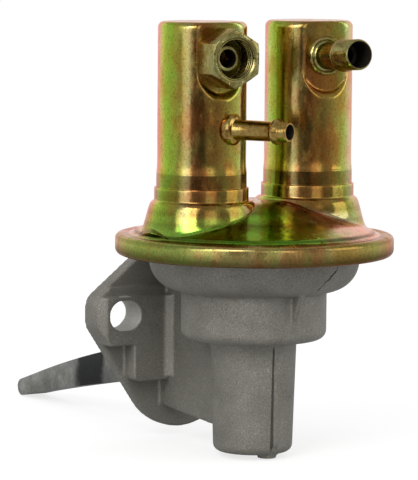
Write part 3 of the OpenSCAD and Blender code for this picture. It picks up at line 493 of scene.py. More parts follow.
# Forged steel: scaled grey, with one stretch painted black as a dark reflection and a painted reflection of light
# brightening it towards the tip
def forged_steel():
    made, tree, shader = new_finish("forged_steel", Metallic=0.85, Roughness=0.45)
    along = add_node(tree, "SeparateXYZ", (place(tree),)).outputs["Y"]
    rag = blobs(tree, 7, 3.0, 0.6)
    shift = add_node(tree, "Math", (rag, 0.5), operation="SUBTRACT")
    edge = add_node(tree, "Math", (shift, 7 * MM, along), operation="MULTIPLY_ADD")
    # painted reflection: the dark stretch of the arm
    dark_reflection = add_node(tree, "Math", (band(tree, edge, low=DARK_REFLECTION_START, soft=3 * MM),
                                    band(tree, edge, high=DARK_REFLECTION_END, soft=6 * MM)), operation="MULTIPLY")
    grain = blobs(tree, 0.9, 4.0, 0.7)
    fine = add_node(tree, "Math", (grain, 0.4), operation="MULTIPLY")
    mixed = add_node(tree, "Math", (rag, 0.6, fine), operation="MULTIPLY_ADD")
    grey = add_node(tree, "ValToRGB", (mixed,), [(0.34, "6e6e6a"), (0.5, "8c8c88"), (0.66, "aeaea8")])
    dark_reflection_colour = add_node(tree, "ValToRGB", (grain,), [(0.3, "161617"), (0.6, "242527"), (0.8, "3c3d3f")])
    # painted reflection: darker near the pivot end, brighter towards the tip
    painted_tip_light = add_node(tree, "ValToRGB", (along,), [(0.0, 0.75), (0.037, 0.7), (0.058, 0.95), (0.082, 1.0)])
    grey_with_tip_light = add_node(tree, "Mix", (1.0, grey, painted_tip_light), data_type="RGBA", blend_type="MULTIPLY")
    feed(shader, {
        "Base Color": add_node(tree, "Mix", (dark_reflection, grey_with_tip_light, dark_reflection_colour), data_type="RGBA"),
        "Roughness": add_node(tree, "MapRange", (grain, 0.0, 1.0, 0.34, 0.58)),
    })
    relief(tree, shader, (blobs(tree, 1.6, 4.0, 0.6), 0.06))
    return made


# Small steel pieces, drawn or stamped: even grey metal with a faint grain
def plain_steel(name, light, dark, roughness, grain_mm=0.6):
    made, tree, shader = new_finish(name, Metallic=1.0, Roughness=roughness)
    grain = blobs(tree, grain_mm, 3.0, 0.6)
    feed(shader, {
        "Base Color": add_node(tree, "ValToRGB", (grain,), [(0.3, dark), (0.7, light)]),
        "Roughness": add_node(tree, "MapRange", (grain, 0.0, 1.0, roughness - 0.06, roughness + 0.10)),
    })
    relief(tree, shader, (grain, 0.01))
    return made


# Moulded or pressed soft goods: no metal, dull, with a fine even grain
def moulded(name, light, dark, roughness, grain_mm):
    made, tree, shader = new_finish(name, Metallic=0.0, Roughness=roughness)
    grain = blobs(tree, grain_mm, 3.0, 0.6)
    feed(shader, {"Base Color": add_node(tree, "ValToRGB", (grain,), [(0.3, dark), (0.7, light)])})
    relief(tree, shader, (grain, 0.02))
    return made


# Woven cloth or mesh: two sets of threads that cross, round the pump's upright axis
def woven(name, light, dark, roughness, thread_mm):
    made, tree, shader = new_finish(name, Metallic=0.0, Roughness=roughness)
    threads = [
        add_node(tree, "TexWave", {"Vector": place(tree), "Scale": wave_scale(thread_mm)}, wave_type="BANDS",
                 bands_direction=direction).outputs["Fac"]
        for direction in ("DIAGONAL", "Z")
    ]
    weave = add_node(tree, "Math", threads, operation="MAXIMUM")
    feed(shader, {"Base Color": add_node(tree, "ValToRGB", (weave,), [(0.2, dark), (0.8, light)])})
    relief(tree, shader, (weave, 0.05))
    return made


def node_object(name):
    """Blender object of a CAD node."""
    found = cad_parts[name]
    return found if isinstance(found, bpy.types.Object) else bpy.data.objects[found]


def finish_node(name, material, bevel_mm=0.0):
    """Gives a CAD node its material and softens its edges by a bevel modifier."""
    obj = node_object(name)
    obj.data.materials.clear()
    obj.data.materials.append(material)
    if bevel_mm:
        weld = obj.modifiers.new("weld", "WELD")
        weld.merge_threshold = 0.002 * MM
        edge = obj.modifiers.new("soft_edges", "BEVEL")
        edge.width = bevel_mm * MM
        edge.segments = 2
        edge.limit_method = "ANGLE"
        edge.angle_limit = math.radians(32)
        edge.harden_normals = False
        edge.use_clamp_overlap = True
        shade_smooth(obj)


def new_object(name, data):
    """Object in the scene's own collection."""
    made = bpy.data.objects.new(name, data)
    bpy.context.scene.collection.objects.link(made)
    return made


def shade_smooth(obj):
    """Smooth shading on every face."""
    for face in obj.data.polygons:
        face.use_smooth = True


def mesh_object(name, verts, faces, material):
    """Mesh piece that rides on the pump's body, smooth shaded, with its normals pointing out."""
    data = bpy.data.meshes.new(name)
    data.from_pydata([tuple(v) for v in verts], [], [tuple(f) for f in faces])
    work = bmesh.new()
    work.from_mesh(data)
    bmesh.ops.remove_doubles(work, verts=work.verts, dist=1e-7)
    bmesh.ops.recalc_face_normals(work, faces=work.faces)
    work.to_mesh(data)
    work.free()
    obj = new_object(name, data)
    data.materials.append(material)
    shade_smooth(obj)
    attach(obj, BODY)
    return obj


def grid_faces(rows, columns, around=False, start=0):
    """Quads between rows of points that follow each other."""
    last = columns if around else columns - 1
    return [
        (start + i * columns + j, start + i * columns + (j + 1) % columns,
         start + (i + 1) * columns + (j + 1) % columns, start + (i + 1) * columns + j)
        for i in range(rows - 1)
        for j in range(last)
    ]


def seam_faces(last, first, columns):
    """Quads that join the ring of points from last on to the one from first on."""
    return [(last + j, last + (j + 1) % columns, first + (j + 1) % columns, first + j) for j in range(columns)]


def arc(centre, radius, start, end, steps):
    """Points of an arc, angles in degrees."""
    return [
        (centre[0] + radius * math.cos(turn), centre[1] + radius * math.sin(turn))
        for turn in (math.radians(start + (end - start) * i / steps) for i in range(steps + 1))
    ]


def smooth_max(a, b, k):
    """Larger of a and b, with a round of size k where they cross."""
    h = np.clip(0.5 + 0.5 * (a - b) / k, 0, 1)
    return b + (a - b) * h + k * h * (1 - h)


def smooth_min(a, b, k):
    """Smaller of a and b, rounded in the same way."""
    return -smooth_max(-a, -b, k)


def cone_height(r):
    """Height of the cover's cone, capped by the flat between the cans; its foot steps down onto the rim."""
    slope = CONE_FOOT_Z + (CONE_FOOT_R - r) * math.tan(CONE_SLOPE)
    slope -= CONE_FOOT_FALL * np.maximum(0, r - CONE_FOOT_R)
    slope = np.maximum(slope, RIM_TOP + REST_ABOVE - REST_FALL * np.maximum(0, r - REST_R))
    return smooth_min(slope, np.full_like(slope, DOME_TOP), 1.2 * MM)


# The drawn shoulder, as distance from the can's axis and height, from its ledge out to below the rim
SHOULDER_FORM = [
    (0, LEDGE_Z), (SHOULDER_R - 0.7 * MM, LEDGE_Z), (SHOULDER_R + 0.3 * MM, LEDGE_Z - 1 * MM),
    (SHOULDER_FOOT_R, SHOULDER_FOOT_Z), (SHOULDER_FOOT_R + 0.5 * MM, SHOULDER_FOOT_Z - 2 * MM),
    (SHOULDER_FOOT_R + 1.1 * MM, RIM_TOP + 1.2 * MM), (SHOULDER_FOOT_R + 1.8 * MM, RIM_TOP + 0.4 * MM),
    (SHOULDER_FOOT_R + 2.6 * MM, RIM_TOP), (SHOULDER_FOOT_R + 4.6 * MM, RIM_TOP - 3 * MM),
    (100 * MM, RIM_TOP - 60 * MM),
]


def shoulder_height(rho):
    """Height of the drawn shoulder at a distance rho from a can's axis, with its edges rounded."""
    reach, height = zip(*SHOULDER_FORM)
    wide = np.interp(rho, (SHOULDER_R + 0.5 * MM, SHOULDER_FOOT_R + 0.5 * MM), (0.5 * MM, 0.9 * MM))
    return np.mean([np.interp(rho + wide * t, reach, height) for t in np.linspace(-1, 1, 11)], axis=0)


def cover_height(x, y):
    """Height of the cover over the point x, y, measured from the pump's axis."""
    cone = cone_height(np.hypot(x, y))
    right = shoulder_height(np.hypot(x - CAN_X, y))
    left = shoulder_height(np.hypot(x + CAN_X, y))
    r = np.hypot(x, y)
    blend = np.interp(r, (35 * MM, 39.5 * MM), (2.2 * MM, 0.5 * MM))
    pressed = smooth_max(cone, smooth_max(left, right, 0.6 * MM), blend)
    edge = RIM_TOP - 0.15 * MM + EDGE_FALL * np.maximum(0, COVER_EDGE_R - r)
    return smooth_min(pressed, edge, 0.4 * MM)


def dome_half(side):
    """Rows of points of one half of the cover, from inside the collar out to the edge and back below the sheet."""
    columns = 288
    turn = np.linspace(0, 2 * math.pi, columns, endpoint=False) + math.pi / columns
    # the two corners of the half disc are hit exactly
    corner = math.atan2(COVER_EDGE_R, -CAN_X)
    for target in (corner, 2 * math.pi - corner):
        turn[np.argmin(abs(turn - target))] = target
    cos, sin = np.cos(turn), np.sin(turn)
    with np.errstate(divide="ignore"):
        wall = np.where(cos < -1e-9, -CAN_X / cos, 1e9)
    foot, reach = [
        np.minimum(wall, -CAN_X * cos + np.sqrt(r**2 - (CAN_X * sin) ** 2))
        for r in (CONE_FOOT_R, COVER_EDGE_R)
    ]
    rows = []

    def ring(rho, z):
        """Row at a distance rho from the can's axis and a height z."""
        rho = np.broadcast_to(rho, (columns,))
        rows.append(np.stack([side * (CAN_X + rho * cos), AXIS_Y + rho * sin, np.broadcast_to(z, (columns,))], 1))

    def surface(rho, drop):
        """Row on the cover's form, drop below it."""
        x, y = CAN_X + rho * cos, rho * sin
        ring(rho, cover_height(x, y) - drop)

    fillet = 0.5 * MM
    lip = 0.25 * MM
    ring(COLLAR_IN_R, LEDGE_Z - SHEET)
    ring(COLLAR_IN_R, COLLAR_TOP - lip)
    for r, z in arc((COLLAR_IN_R + lip, COLLAR_TOP - lip), lip, 180, 90, 3)[1:]:
        ring(r, z)
    for r, z in arc((COLLAR_R - lip, COLLAR_TOP - lip), lip, 90, 0, 3):
        ring(r, z)
    ring(COLLAR_R, LEDGE_Z + fillet)
    for r, z in arc((COLLAR_R + fillet, LEDGE_Z + fillet), fillet, 180, 270, 3)[1:-1]:
        ring(r, z)
    fixed = np.concatenate([[COLLAR_R + fillet], np.linspace(15.7, 19.8, 19) * MM])
    for rho in fixed:
        surface(np.full(columns, rho), 0)
    for share in np.linspace(0, 1, 25)[1:]:
        surface(np.maximum(fixed[-1], foot * share + fixed[-1] * (1 - share)), 0)
    for share in (0.12, 0.24, 0.36, 0.5, 0.62, 0.74, 0.82, 0.88, 0.94, 1):
        surface(foot + (reach - foot) * share, 0)
    # at the foot the sheet goes down into the rim, also where a shoulder reaches it
    edge = cover_height(CAN_X + reach * cos, reach * sin)
    ring(reach, np.where(reach == wall, edge - SHEET / 2, RIM_TOP - 0.3 * MM))
    for share in np.linspace(0.97, 0, 13):
        surface(fixed[-1] + (reach - fixed[-1]) * share, SHEET)
    for rho in (18.6 * MM, 17.6 * MM, 16.8 * MM, 16.0 * MM, 15.2 * MM):
        surface(np.full(columns, rho), SHEET)
    return rows, columns


def make_cover(finish, rim_finish):
    """Domed cover: rolled rim, cone and the two drawn shoulders, blended as pressed sheet."""
    verts, faces = [], []
    for side in (1, -1):
        rows, columns = dome_half(side)
        start = len(verts)
        for row in rows:
            verts.extend(row.tolist())
        faces += grid_faces(len(rows), columns, around=True, start=start)
        last = start + (len(rows) - 1) * columns
        faces += seam_faces(last, start, columns)
    dome = mesh_object("cover_dome", verts, faces, finish)
    drop_inner_walls(dome)

    low_round, top_round = 2.2 * MM, 1.7 * MM
    outer = (
        [(LIP_R, RIM_BOTTOM + LIP_T), (LIP_R, RIM_BOTTOM + 0.3 * MM), (LIP_R + 0.3 * MM, RIM_BOTTOM)]
        + arc((RIM_R - low_round, RIM_BOTTOM + low_round), low_round, -90, 0, 10)
        + arc((RIM_R - top_round, RIM_TOP - top_round), top_round, 0, 90, 12)
        + [(CONE_FOOT_R - 0.6 * MM, RIM_TOP)]
    )
    inside = [
        (CONE_FOOT_R - 0.6 * MM, RIM_CEILING), (STACK_R + 0.05 * MM, RIM_CEILING),
        (STACK_R + 0.05 * MM, RIM_BOTTOM + LIP_T),
    ]
    rim = lathe("cover_rim", outer + inside, rim_finish)
    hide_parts("top_cover")
    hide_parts("top_cover")


def drop_inner_walls(obj):
    """Deletes the faces of both halves that lie on each other in the middle plane, so that one shell is left."""
    work = bmesh.new()
    work.from_mesh(obj.data)
    doomed = [f for f in work.faces if all(abs(v.co.x) < 1e-6 for v in f.verts)]
    bmesh.ops.delete(work, geom=doomed, context="FACES")
    bmesh.ops.recalc_face_normals(work, faces=work.faces)
    work.to_mesh(obj.data)
    work.free()


def lathe(name, profile, material, segments=256):
    """Closed profile of (radius, height) turned about the pump's axis."""
    angles = np.linspace(0, 2 * math.pi, segments, endpoint=False)
    verts = [(r * math.cos(a), AXIS_Y + r * math.sin(a), z) for r, z in profile for a in angles]
    faces = grid_faces(len(profile), segments, around=True)
    faces += seam_faces((len(profile) - 1) * segments, 0, segments)
    return mesh_object(name, verts, faces, material)


def can_surface(profile, columns, inset, flat_turn):
    """Rows of points of a can, with the stamped flat pressed into its front and turned about the can."""
    turn = np.linspace(0, 2 * math.pi, columns, endpoint=False)
    cos, sin = math.cos(flat_turn), math.sin(flat_turn)
    end = FLAT_END_R + inset * (1 / math.cos(FLAT_FLARE) - math.tan(FLAT_FLARE))
    rows = []
    for r, z in profile:
        x, y = r * np.sin(turn), -r * np.cos(turn)
        below = min(0.0, z - FLAT_Z)
        rho = np.hypot(x, below)
        limit = FLAT_Y - inset + np.maximum(0, rho - end) / math.tan(FLAT_FLARE)
        near = smooth_min(-y, limit, 0.9 * MM)
        y = np.where(-y > 0.3 * CAN_R, -near, y)
        rows.append(np.stack([x * cos + y * sin, y * cos - x * sin, np.full(columns, z)], 1))
    return rows


def make_can(name, side, flat_turn, finish, holes):
    """Deep-drawn can: sized foot, rounded top and the flat that carries its fitting."""
    columns = 192

    def wall(inset):
        """Profile of the can: foot, step, flare, wall and rounded top, inset from its outside."""
        r, foot = CAN_R - inset, CAN_R + CAN_STEP - inset
        rounding = CAN_ROUND - 0.5 * inset
        top = CAN_TOP - inset
        path = [(foot, z * MM) for z in (CAN_FOOT_Z / MM, 42, 44.5, 47, 49, 49.8)]
        step, step_z, step_rise = CAN_STEP - CAN_FLARE, 49.9, 0.6
        path += [(foot - step * (1 - math.cos(math.pi * t)) / 2, (step_z + step_rise * t) * MM)
                 for t in (0.15, 0.35, 0.5, 0.65, 0.85, 1)]
        flare_z, flare_rise = 50.5 * MM, 3.4 * MM
        path += [(r + CAN_FLARE * (1 - t) ** 2, flare_z + flare_rise * t)
                 for t in (0.1, 0.2, 0.3, 0.4, 0.55, 0.7, 0.85, 1)]
        path += [(r, z * MM) for z in np.linspace(55, 72, 8)]
        path += [(r, z * MM) for z in np.linspace(73, (top - rounding) / MM, 56)]
        path += arc((r - rounding, top - rounding), rounding, 0, 90, 9)[1:]
        path += [((r - rounding) * share, top) for share in (0.93, 0.85, 0.7, 0.5, 0.3, 0.12, 0.0001)]
        return path

    outside = can_surface(wall(0), columns, 0, flat_turn)
    inside = can_surface(wall(CAN_WALL)[::-1], columns, CAN_WALL, flat_turn)
    verts, faces = [], []
    for rows in (outside, inside):
        start = len(verts)
        for row in rows:
            verts.extend((row + [side * CAN_X, AXIS_Y, 0]).tolist())
        faces += grid_faces(len(rows), columns, around=True, start=start)
    last = len(verts) - columns
    faces += seam_faces(last, 0, columns)
    for top in ((len(outside) - 1) * columns, len(outside) * columns):
        faces.append(tuple(top + j for j in range(columns)))
    can = mesh_object(name + "_drawn", verts, faces, finish)
    for radius, length, matrix in holes:
        cut_round(can, radius, length, Matrix.Translation((side * CAN_X, AXIS_Y, 0)) @ matrix)
    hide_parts(name)


def cut_round(obj, radius, length, matrix):
    """Cuts a round hole through obj; the cutter stands on the matrix's origin along its Z axis, both ways."""
    work = bmesh.new()
    bmesh.ops.create_cone(work, cap_ends=True, segments=64, radius1=radius, radius2=radius, depth=length,
                          matrix=matrix)
    data = bpy.data.meshes.new("cutter")
    work.to_mesh(data)
    work.free()
    cutter = new_object("cutter", data)
    step = obj.modifiers.new("hole", "BOOLEAN")
    step.operation = "DIFFERENCE"
    step.solver = "EXACT"
    step.object = cutter
    apply_modifiers(obj)
    bpy.data.objects.remove(cutter)


def apply_modifiers(obj):
    """Bakes an object's modifiers into its mesh."""
    bpy.context.view_layer.update()
    graph = bpy.context.evaluated_depsgraph_get()
    fresh = bpy.data.meshes.new_from_object(obj.evaluated_get(graph))
    obj.modifiers.clear()
    obj.data = fresh
    shade_smooth(obj)


def front_axis(x, z, turn=0.0, tilt=0.0, depth=0.0):
    """Matrix whose Z axis points out of the front, at x, z of the can and depth in front of its axis."""
    return (
        Matrix.Translation((x, -depth, z)) @ Matrix.Rotation(turn, 4, "Z")
        @ Matrix.Rotation(math.pi / 2 - tilt, 4, "X")
    )


CAST_TRIANGLES = 190000
CAST_VOXEL = 0.46 * MM


def make_casting(finish):
    """Cast lower body: the CAD solid remeshed, so that its edges and corners get the soft rounds of a casting."""
    obj = new_object("cast_body", node_object("lower_housing").data.copy())
    voxel = obj.modifiers.new("remesh", "REMESH")
    voxel.mode = "VOXEL"
    voxel.voxel_size = CAST_VOXEL
    soft = obj.modifiers.new("soften", "SMOOTH")
    soft.factor = 0.5
    soft.iterations = 3
    apply_modifiers(obj)
    if len(obj.data.polygons) * 2 > CAST_TRIANGLES:
        fewer = obj.modifiers.new("fewer", "DECIMATE")
        fewer.ratio = CAST_TRIANGLES / (len(obj.data.polygons) * 2)
        apply_modifiers(obj)
    obj.data.materials.clear()
    obj.data.materials.append(finish)
    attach(obj, BODY)
    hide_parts("lower_housing")


def make_thread(finish):
    """Screw thread of the outlet: a ridge that winds down the bore."""
    turns = THREAD_LEN / THREAD_PITCH
    per_turn = 56
    steps = int(turns * per_turn)
    depth, foot, margin = 0.42 * MM, THREAD_R + 0.06 * MM, 0.35 * MM
    half = THREAD_PITCH * 0.46 * 0.98
    verts = []
    for i in range(steps + 1):
        a = 2 * math.pi * turns * i / steps
        # the ridge rises and runs out over a quarter turn at each end
        fade = min(1.0, 4 * i / per_turn, 4 * (steps - i) / per_turn)
        y = -margin - (THREAD_LEN - 2 * margin) * i / steps
        for r, dy in ((foot, -half), (THREAD_R - depth * fade, 0), (foot, half)):
            verts.append((r * math.cos(a), r * math.sin(a), y + dy))
    faces = []
    for i in range(steps):
        for j in range(3):
            k = (j + 1) % 3
            faces.append((i * 3 + j, i * 3 + k, (i + 1) * 3 + k, (i + 1) * 3 + j))
    faces.append((0, 1, 2))
    faces.append((steps * 3, steps * 3 + 1, steps * 3 + 2))
    out = (
        Matrix.Translation((-CAN_X, AXIS_Y, 0)) @ Matrix.Rotation(-OUTLET_TURN, 4, "Z")
        @ Matrix.Translation((0, -FLAT_Y - HEX_LEN, PORT_Z)) @ Matrix.Rotation(math.pi / 2, 4, "X")
    )
    verts = [out @ Vector(v) for v in verts]
    mesh_object("outlet_thread", verts, faces, finish)


# Camera: turned and raised as in the photograph, whose picture is 418 by 480 pixels
PICTURE = (418, 480)
CAMERA_TURN = math.radians(-32)
CAMERA_RAISE = math.radians(5.8)
CAMERA_ROLL = math.radians(-0.45)
FOCAL_PIXELS = 3100
PIXELS_PER_MM = 278.5 / 90
TARGET = (0.0, AXIS_Y, 24.2 * MM)
TARGET_PIXEL = (254.3, 250)
SENSOR = 36


def make_camera():
    """Camera at the photograph's viewing angle."""
    data = bpy.data.cameras.new("camera")
    data.sensor_width = SENSOR
    data.lens = SENSOR * FOCAL_PIXELS / PICTURE[1]
    data.clip_end = 50
    camera = new_object("camera", data)
    back = Vector((math.sin(CAMERA_TURN) * math.cos(CAMERA_RAISE),
                   -math.cos(CAMERA_TURN) * math.cos(CAMERA_RAISE), math.sin(CAMERA_RAISE)))
    right = Vector((math.cos(CAMERA_TURN), math.sin(CAMERA_TURN), 0))
    up = back.cross(right)
    c, s = math.cos(CAMERA_ROLL), math.sin(CAMERA_ROLL)
    right, up = right * c - up * s, up * c + right * s
    distance = FOCAL_PIXELS / PIXELS_PER_MM * MM
    side = (TARGET_PIXEL[0] - PICTURE[0] / 2) / FOCAL_PIXELS * distance
    rise = -(TARGET_PIXEL[1] - PICTURE[1] / 2) / FOCAL_PIXELS * distance
    spot = Vector(TARGET) + back * distance - right * side - up * rise
    turn = Matrix((right, up, back)).transposed()
    camera.matrix_world = Matrix.Translation(spot) @ turn.to_4x4()
    bpy.context.scene.camera = camera


# Studio as the metal mirrors it, level with the horizon and above it: white at the back and sides, dark behind
# the camera, a strong strip light on the left and a weak one on the right. Each entry is degrees from the camera's
# side, to the right, and a level of light
STUDIO_LEVEL = [
    (-180, 1.0), (-140, 1.0), (-124, 0.95), (-104, 0.72), (-75, 0.60), (-55, 0.44), (-50, 1.1), (-32, 1.1),
    (-27, 0.20), (-10, 0.085), (4, 0.085), (12, 0.26), (28, 0.28), (34, 0.26), (60, 0.46), (84, 0.68),
    (104, 0.88), (124, 1.0), (180, 1.0),
]
STUDIO_RAISED = [
    (-180, 1.0), (-140, 1.0), (-124, 0.95), (-104, 0.72), (-75, 0.58), (-58, 0.44), (-50, 3.0), (-30, 3.0),
    (-22, 0.5), (-6, 0.5), (8, 0.7), (14, 2.0), (30, 2.0), (38, 0.4), (60, 0.46), (84, 0.68), (104, 0.88),
    (124, 1.0), (180, 1.0),
]
BRIGHTEST = 3.0


# Sine of the elevation at which the level light goes over into the raised one, and that into the ceiling's, and
# how wide each change is
RAISED_AT, RAISED_SOFT = 0.03, 0.14
CEILING_AT, CEILING_SOFT = 0.52, 0.16


def make_world(settings):
    """World: plain white light, a white backdrop for the camera and the studio's shapes for mirror-like metal."""
    world = bpy.data.worlds.new("studio")
    bpy.context.scene.world = world
    world.use_nodes = True
    tree = world.node_tree
    tree.nodes.clear()
    way = add_node(tree, "TexCoord").outputs["Generated"]
    turned = add_node(tree, "VectorRotate", {"Vector": way, "Angle": -CAMERA_TURN}, rotation_type="Z_AXIS")
    parts = add_node(tree, "SeparateXYZ", (turned,)).outputs
    turn = turn_share(tree, parts["X"], parts["Y"])
    level, raised = [
        add_node(tree, "ValToRGB", (turn,), [(degrees / 360 + 0.5, light / BRIGHTEST) for degrees, light in stops])
        for stops in (STUDIO_LEVEL, STUDIO_RAISED)
    ]
    up = band(tree, parts["Z"], low=RAISED_AT, soft=RAISED_SOFT)
    overhead = band(tree, parts["Z"], low=CEILING_AT, soft=CEILING_SOFT)
    ceiling = [settings.overhead_level / BRIGHTEST] * 3 + [1.0]
    walls = add_node(tree, "Mix", (up, level, raised), data_type="RGBA")
    mirrored = add_node(tree, "Mix", (overhead, walls, ceiling), data_type="RGBA")
    rays = add_node(tree, "LightPath").outputs
    glossy = add_node(tree, "Background", {"Color": mirrored, "Strength": settings.mirror_level * BRIGHTEST})
    plain = add_node(tree, "Background", {"Color": "ffffff", "Strength": settings.world_level})
    white = add_node(tree, "Background", {"Color": "ffffff", "Strength": 1.0})
    seen = add_node(tree, "Math", (rays["Is Camera Ray"], rays["Is Transmission Ray"]), operation="MAXIMUM")
    lit = add_node(tree, "MixShader", (rays["Is Glossy Ray"], plain, glossy))
    add_node(tree, "OutputWorld", {"Surface": add_node(tree, "MixShader", (seen, lit, white))})


# Share of the floor's white that metal mirrors, and half the floor's side in metres
FLOOR_MIRRORED = 0.3
FLOOR_HALF = 0.6


def make_floor(settings):
    """Pale floor below the part, white to the camera except where the part shades it."""
    made = bpy.data.materials.new("pale_floor")
    made.use_nodes = True
    tree = made.node_tree
    tree.nodes.clear()
    rays = add_node(tree, "LightPath").outputs
    seen = add_node(tree, "Math", (rays["Is Camera Ray"], rays["Is Transmission Ray"]), operation="MAXIMUM")
    seen = add_node(tree, "Math", (rays["Is Glossy Ray"], FLOOR_MIRRORED, seen), operation="MULTIPLY_ADD")
    strength = add_node(tree, "Math", (seen, settings.floor_glow), operation="MULTIPLY")
    glow = add_node(tree, "Emission", {"Color": "ffffff", "Strength": strength})
    paint = add_node(tree, "BsdfDiffuse", {"Color": settings.floor_colour})
    add_node(tree, "OutputMaterial", {"Surface": add_node(tree, "AddShader", (glow, paint))})
    data = bpy.data.meshes.new("floor")
    corners = [(x * FLOOR_HALF, y * FLOOR_HALF, 0) for x, y in ((-1, -1), (1, -1), (1, 1), (-1, 1))]
    data.from_pydata(corners, [], [(0, 1, 2, 3)])
    data.materials.append(made)
    floor = new_object("floor", data)
    floor.location = (0, 0, FLOOR_Z)


# Where the soft boxes hang, in metres
KEY_SPOT = (-1.1, -0.75, 0.9)
FILL_SPOT = (1.0, -0.9, 0.5)


def make_lamp(name, spot, size, watts):
    """Soft box that points at the pump."""
    data = bpy.data.lights.new(name, "AREA")
    data.shape = "SQUARE"
    data.size = size
    data.energy = watts
    lamp = new_object(name, data)
    lamp.location = spot
    aim = Vector((0, AXIS_Y, 20 * MM)) - Vector(spot)
    lamp.rotation_mode = "QUATERNION"
    lamp.rotation_quaternion = aim.to_track_quat("-Z", "Y")


class StudioSettings(bpy.types.PropertyGroup):
    """Light levels of the studio."""

    world_level: FloatProperty(name="World", description="Level of the plain light all round", default=0.62)
    mirror_level: FloatProperty(name="Mirrored studio", description="Level of what metal mirrors", default=1.0)
    overhead_level: FloatProperty(name="Mirrored ceiling", description="Level of the ceiling that metal mirrors",
                                  default=0.5)
    key_watts: FloatProperty(name="Key light", description="Power of the soft box on the left", default=9.0)
    fill_watts: FloatProperty(name="Fill light", description="Power of the soft box on the right", default=3.0)
    floor_glow: FloatProperty(name="Floor glow", description="Share of the floor's white that no shade takes",
                              default=0.74)
    floor_colour: StringProperty(name="Floor colour", description="sRGB hex colour of the floor", default="a8a8a8")


class FinishSettings(bpy.types.PropertyGroup):
    """Finish of the metal."""

    cast_grain: FloatProperty(name="Casting grain", description="Depth of the grain of the casting",
                              default=0.10 * MM, unit="LENGTH")
    can_roughness: FloatProperty(name="Can roughness", description="Roughness of the plated cans", default=0.18,
                                 subtype="FACTOR")


class PUMP_OT_stage(bpy.types.Operator):
    """Make the camera, the floor, the world and the lamps"""

    bl_idname = "pump.stage"
    bl_label = "Stage"

    def execute(self, context):
        settings = context.scene.pump_studio
        make_camera()
        make_world(settings)
        make_floor(settings)
        make_lamp("key_box", KEY_SPOT, 0.7, settings.key_watts)
        make_lamp("fill_box", FILL_SPOT, 0.8, settings.fill_watts)
        return {"FINISHED"}


class PUMP_OT_casting(bpy.types.Operator):
    """Make the cast lower body"""

    bl_idname = "pump.casting"
    bl_label = "Cast body"

    def execute(self, context):
        finish = cast_aluminium(context.scene.pump_finish)
        make_casting(finish)
        finish_node("valve_body", finish)
        return {"FINISHED"}


class PUMP_OT_cover(bpy.types.Operator):
    """Make the plated cover"""

    bl_idname = "pump.cover"
    bl_label = "Cover"

    def execute(self, context):
        make_cover(yellow_zinc("yellow_zinc_dome", 0.16, cover_paint),
                   yellow_zinc("yellow_zinc_rim", 0.24, rim_paint))
        return {"FINISHED"}


class PUMP_OT_cans(bpy.types.Operator):
    """Make the two plated cans"""

    bl_idname = "pump.cans"
    bl_label = "Cans"

    def execute(self, context):
        port = Matrix.Rotation(-OUTLET_TURN, 4, "Z") @ front_axis(0, PORT_Z, depth=CAN_R)
        inlet = Matrix.Rotation(-INLET_TURN, 4, "Z") @ front_axis(0, PORT_Z, tilt=INLET_TILT, depth=FLAT_Y)
        nipple = front_axis(CAN_R * math.sin(NIPPLE_AT), NIPPLE_Z, turn=NIPPLE_TURN,
                            depth=CAN_R * math.cos(NIPPLE_AT))
        finish = yellow_zinc("yellow_zinc_deep_drawn", context.scene.pump_finish.can_roughness, can_paint)
        make_can("outlet_can", -1, OUTLET_TURN, finish, [(SPIGOT_R, 12 * MM, port), (NIPPLE_R, 12 * MM, nipple)])
        make_can("inlet_can", 1, INLET_TURN, finish, [(BARB_SPIGOT_R, 12 * MM, inlet)])
        return {"FINISHED"}


class PUMP_OT_fittings(bpy.types.Operator):
    """Finish the outlet fitting, its thread and seat, the inlet hose end and the return nipple"""

    bl_idname = "pump.fittings"
    bl_label = "Fittings"

    def execute(self, context):
        olive = [(0.34, "8a7c46"), (0.46, "9c8f58"), (0.56, "a3a468"), (0.68, "b99f72")]
        gold = turned_zinc("yellow_zinc_fitting", olive)
        brown = [(0.34, "8a6a34"), (0.5, "b09050"), (0.66, "c2aa66")]
        seat = turned_zinc("yellow_zinc_seat", olive, [(OUTLET_AT, OUTLET_WAY, SEAT_BORE_R, 0.0)])
        barb = turned_zinc("yellow_zinc_barb", olive, [
            (INLET_AT, INLET_WAY, BARB_BORE_R, BORE_START), (INLET_AT, INLET_WAY, BARB_MOUTH_R, BARB_MOUTH),
        ], roughness=0.16)
        bronze = turned_zinc("yellow_zinc_nipple", brown, [(NIPPLE_FOOT, NIPPLE_WAY, NIPPLE_BORE_R, BORE_START)],
                             roughness=0.15)
        finish_node("outlet_fitting", gold, 0.22)
        finish_node("flare_seat", seat, 0.12)
        finish_node("inlet_barb", barb, 0.15)
        finish_node("return_nipple", bronze, 0.12)
        make_thread(gold)
        return {"FINISHED"}


class PUMP_OT_arm(bpy.types.Operator):
    """Finish the rocker arm, its pin and its spring"""

    bl_idname = "pump.arm"
    bl_label = "Rocker arm"

    def execute(self, context):
        finish_node("rocker_arm", forged_steel(), 0.6)
        steel = plain_steel("bright_steel", "a8aaac", "8b8d90", 0.32)
        for name in ("pivot_pin", "pivot_washers", "pin_plug", "arm_spring_cap"):
            finish_node(name, steel)
        finish_node("arm_return_spring", plain_steel("spring_wire", "6f7377", "4d5054", 0.38, 0.4))
        return {"FINISHED"}


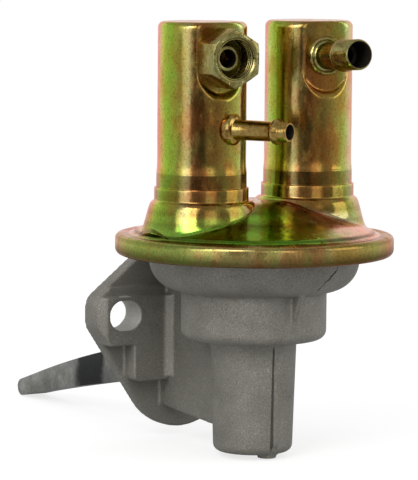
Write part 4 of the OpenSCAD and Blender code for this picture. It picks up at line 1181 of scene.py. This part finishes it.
class PUMP_OT_inside(bpy.types.Operator):
    """Finish the diaphragm, the valves and the other pieces inside"""

    bl_idname = "pump.inside"
    bl_label = "Inner pieces"

    def execute(self, context):
        plated = plain_steel("zinc_plated_plates", "b4b8ba", "94999c", 0.34)
        wire = plain_steel("valve_wire", "8b8f93", "686c70", 0.34, 0.3)
        rubber = moulded("nitrile_rubber", "2a2a2a", "191919", 0.6, 0.5)
        acetal = moulded("acetal", "cfc8b4", "bdb5a0", 0.4, 1.2)
        for name in ("upper_plate", "lower_plate", "pull_rod", "seal_retainer"):
            finish_node(name, plated)
        for name in ("diaphragm_spring", "outlet_valve_spring", "inlet_valve_spring"):
            finish_node(name, wire)
        for name in ("rod_seal", "outlet_valve_disc", "inlet_valve_disc"):
            finish_node(name, rubber)
        for name in ("outlet_valve_cage", "inlet_valve_cage"):
            finish_node(name, acetal)
        finish_node("cover_gasket", moulded("fibre_gasket", "4a4742", "33302c", 0.8, 0.3))
        finish_node("diaphragm", woven("rubbered_cloth", "3a3835", "232220", 0.7, 0.6))
        finish_node("inlet_strainer", woven("nylon_mesh", "d2c59a", "8f835e", 0.5, 0.5))
        return {"FINISHED"}


class PUMP_PT_panel(bpy.types.Panel):
    """Shows the settings and a button for each group of pieces"""

    bl_label = "Fuel pump"
    bl_idname = "PUMP_PT_panel"
    bl_space_type = "VIEW_3D"
    bl_region_type = "UI"
    bl_category = "Fuel pump"

    def draw(self, context):
        for settings in (context.scene.pump_studio, context.scene.pump_finish):
            for name in settings.__annotations__:
                self.layout.prop(settings, name)
        for step in STEPS:
            self.layout.operator(step.bl_idname)


STEPS = (
    PUMP_OT_stage, PUMP_OT_casting, PUMP_OT_cover, PUMP_OT_cans, PUMP_OT_fittings, PUMP_OT_arm, PUMP_OT_inside,
)
CLASSES = (StudioSettings, FinishSettings) + STEPS + (PUMP_PT_panel,)


def register():
    """Makes the classes and their settings known to Blender."""
    for made in CLASSES:
        bpy.utils.register_class(made)
    bpy.types.Scene.pump_studio = PointerProperty(type=StudioSettings)
    bpy.types.Scene.pump_finish = PointerProperty(type=FinishSettings)


def unregister():
    """Takes the classes and their settings out again."""
    del bpy.types.Scene.pump_studio
    del bpy.types.Scene.pump_finish
    for made in reversed(CLASSES):
        bpy.utils.unregister_class(made)


def main():
    """Makes the pump and its studio."""
    register()
    bpy.context.scene.view_settings.view_transform = "Standard"
    for step in STEPS:
        group, name = step.bl_idname.split(".")
        getattr(getattr(bpy.ops, group), name)()
    bpy.context.view_layer.update()


if __name__ == "__main__":
    main()
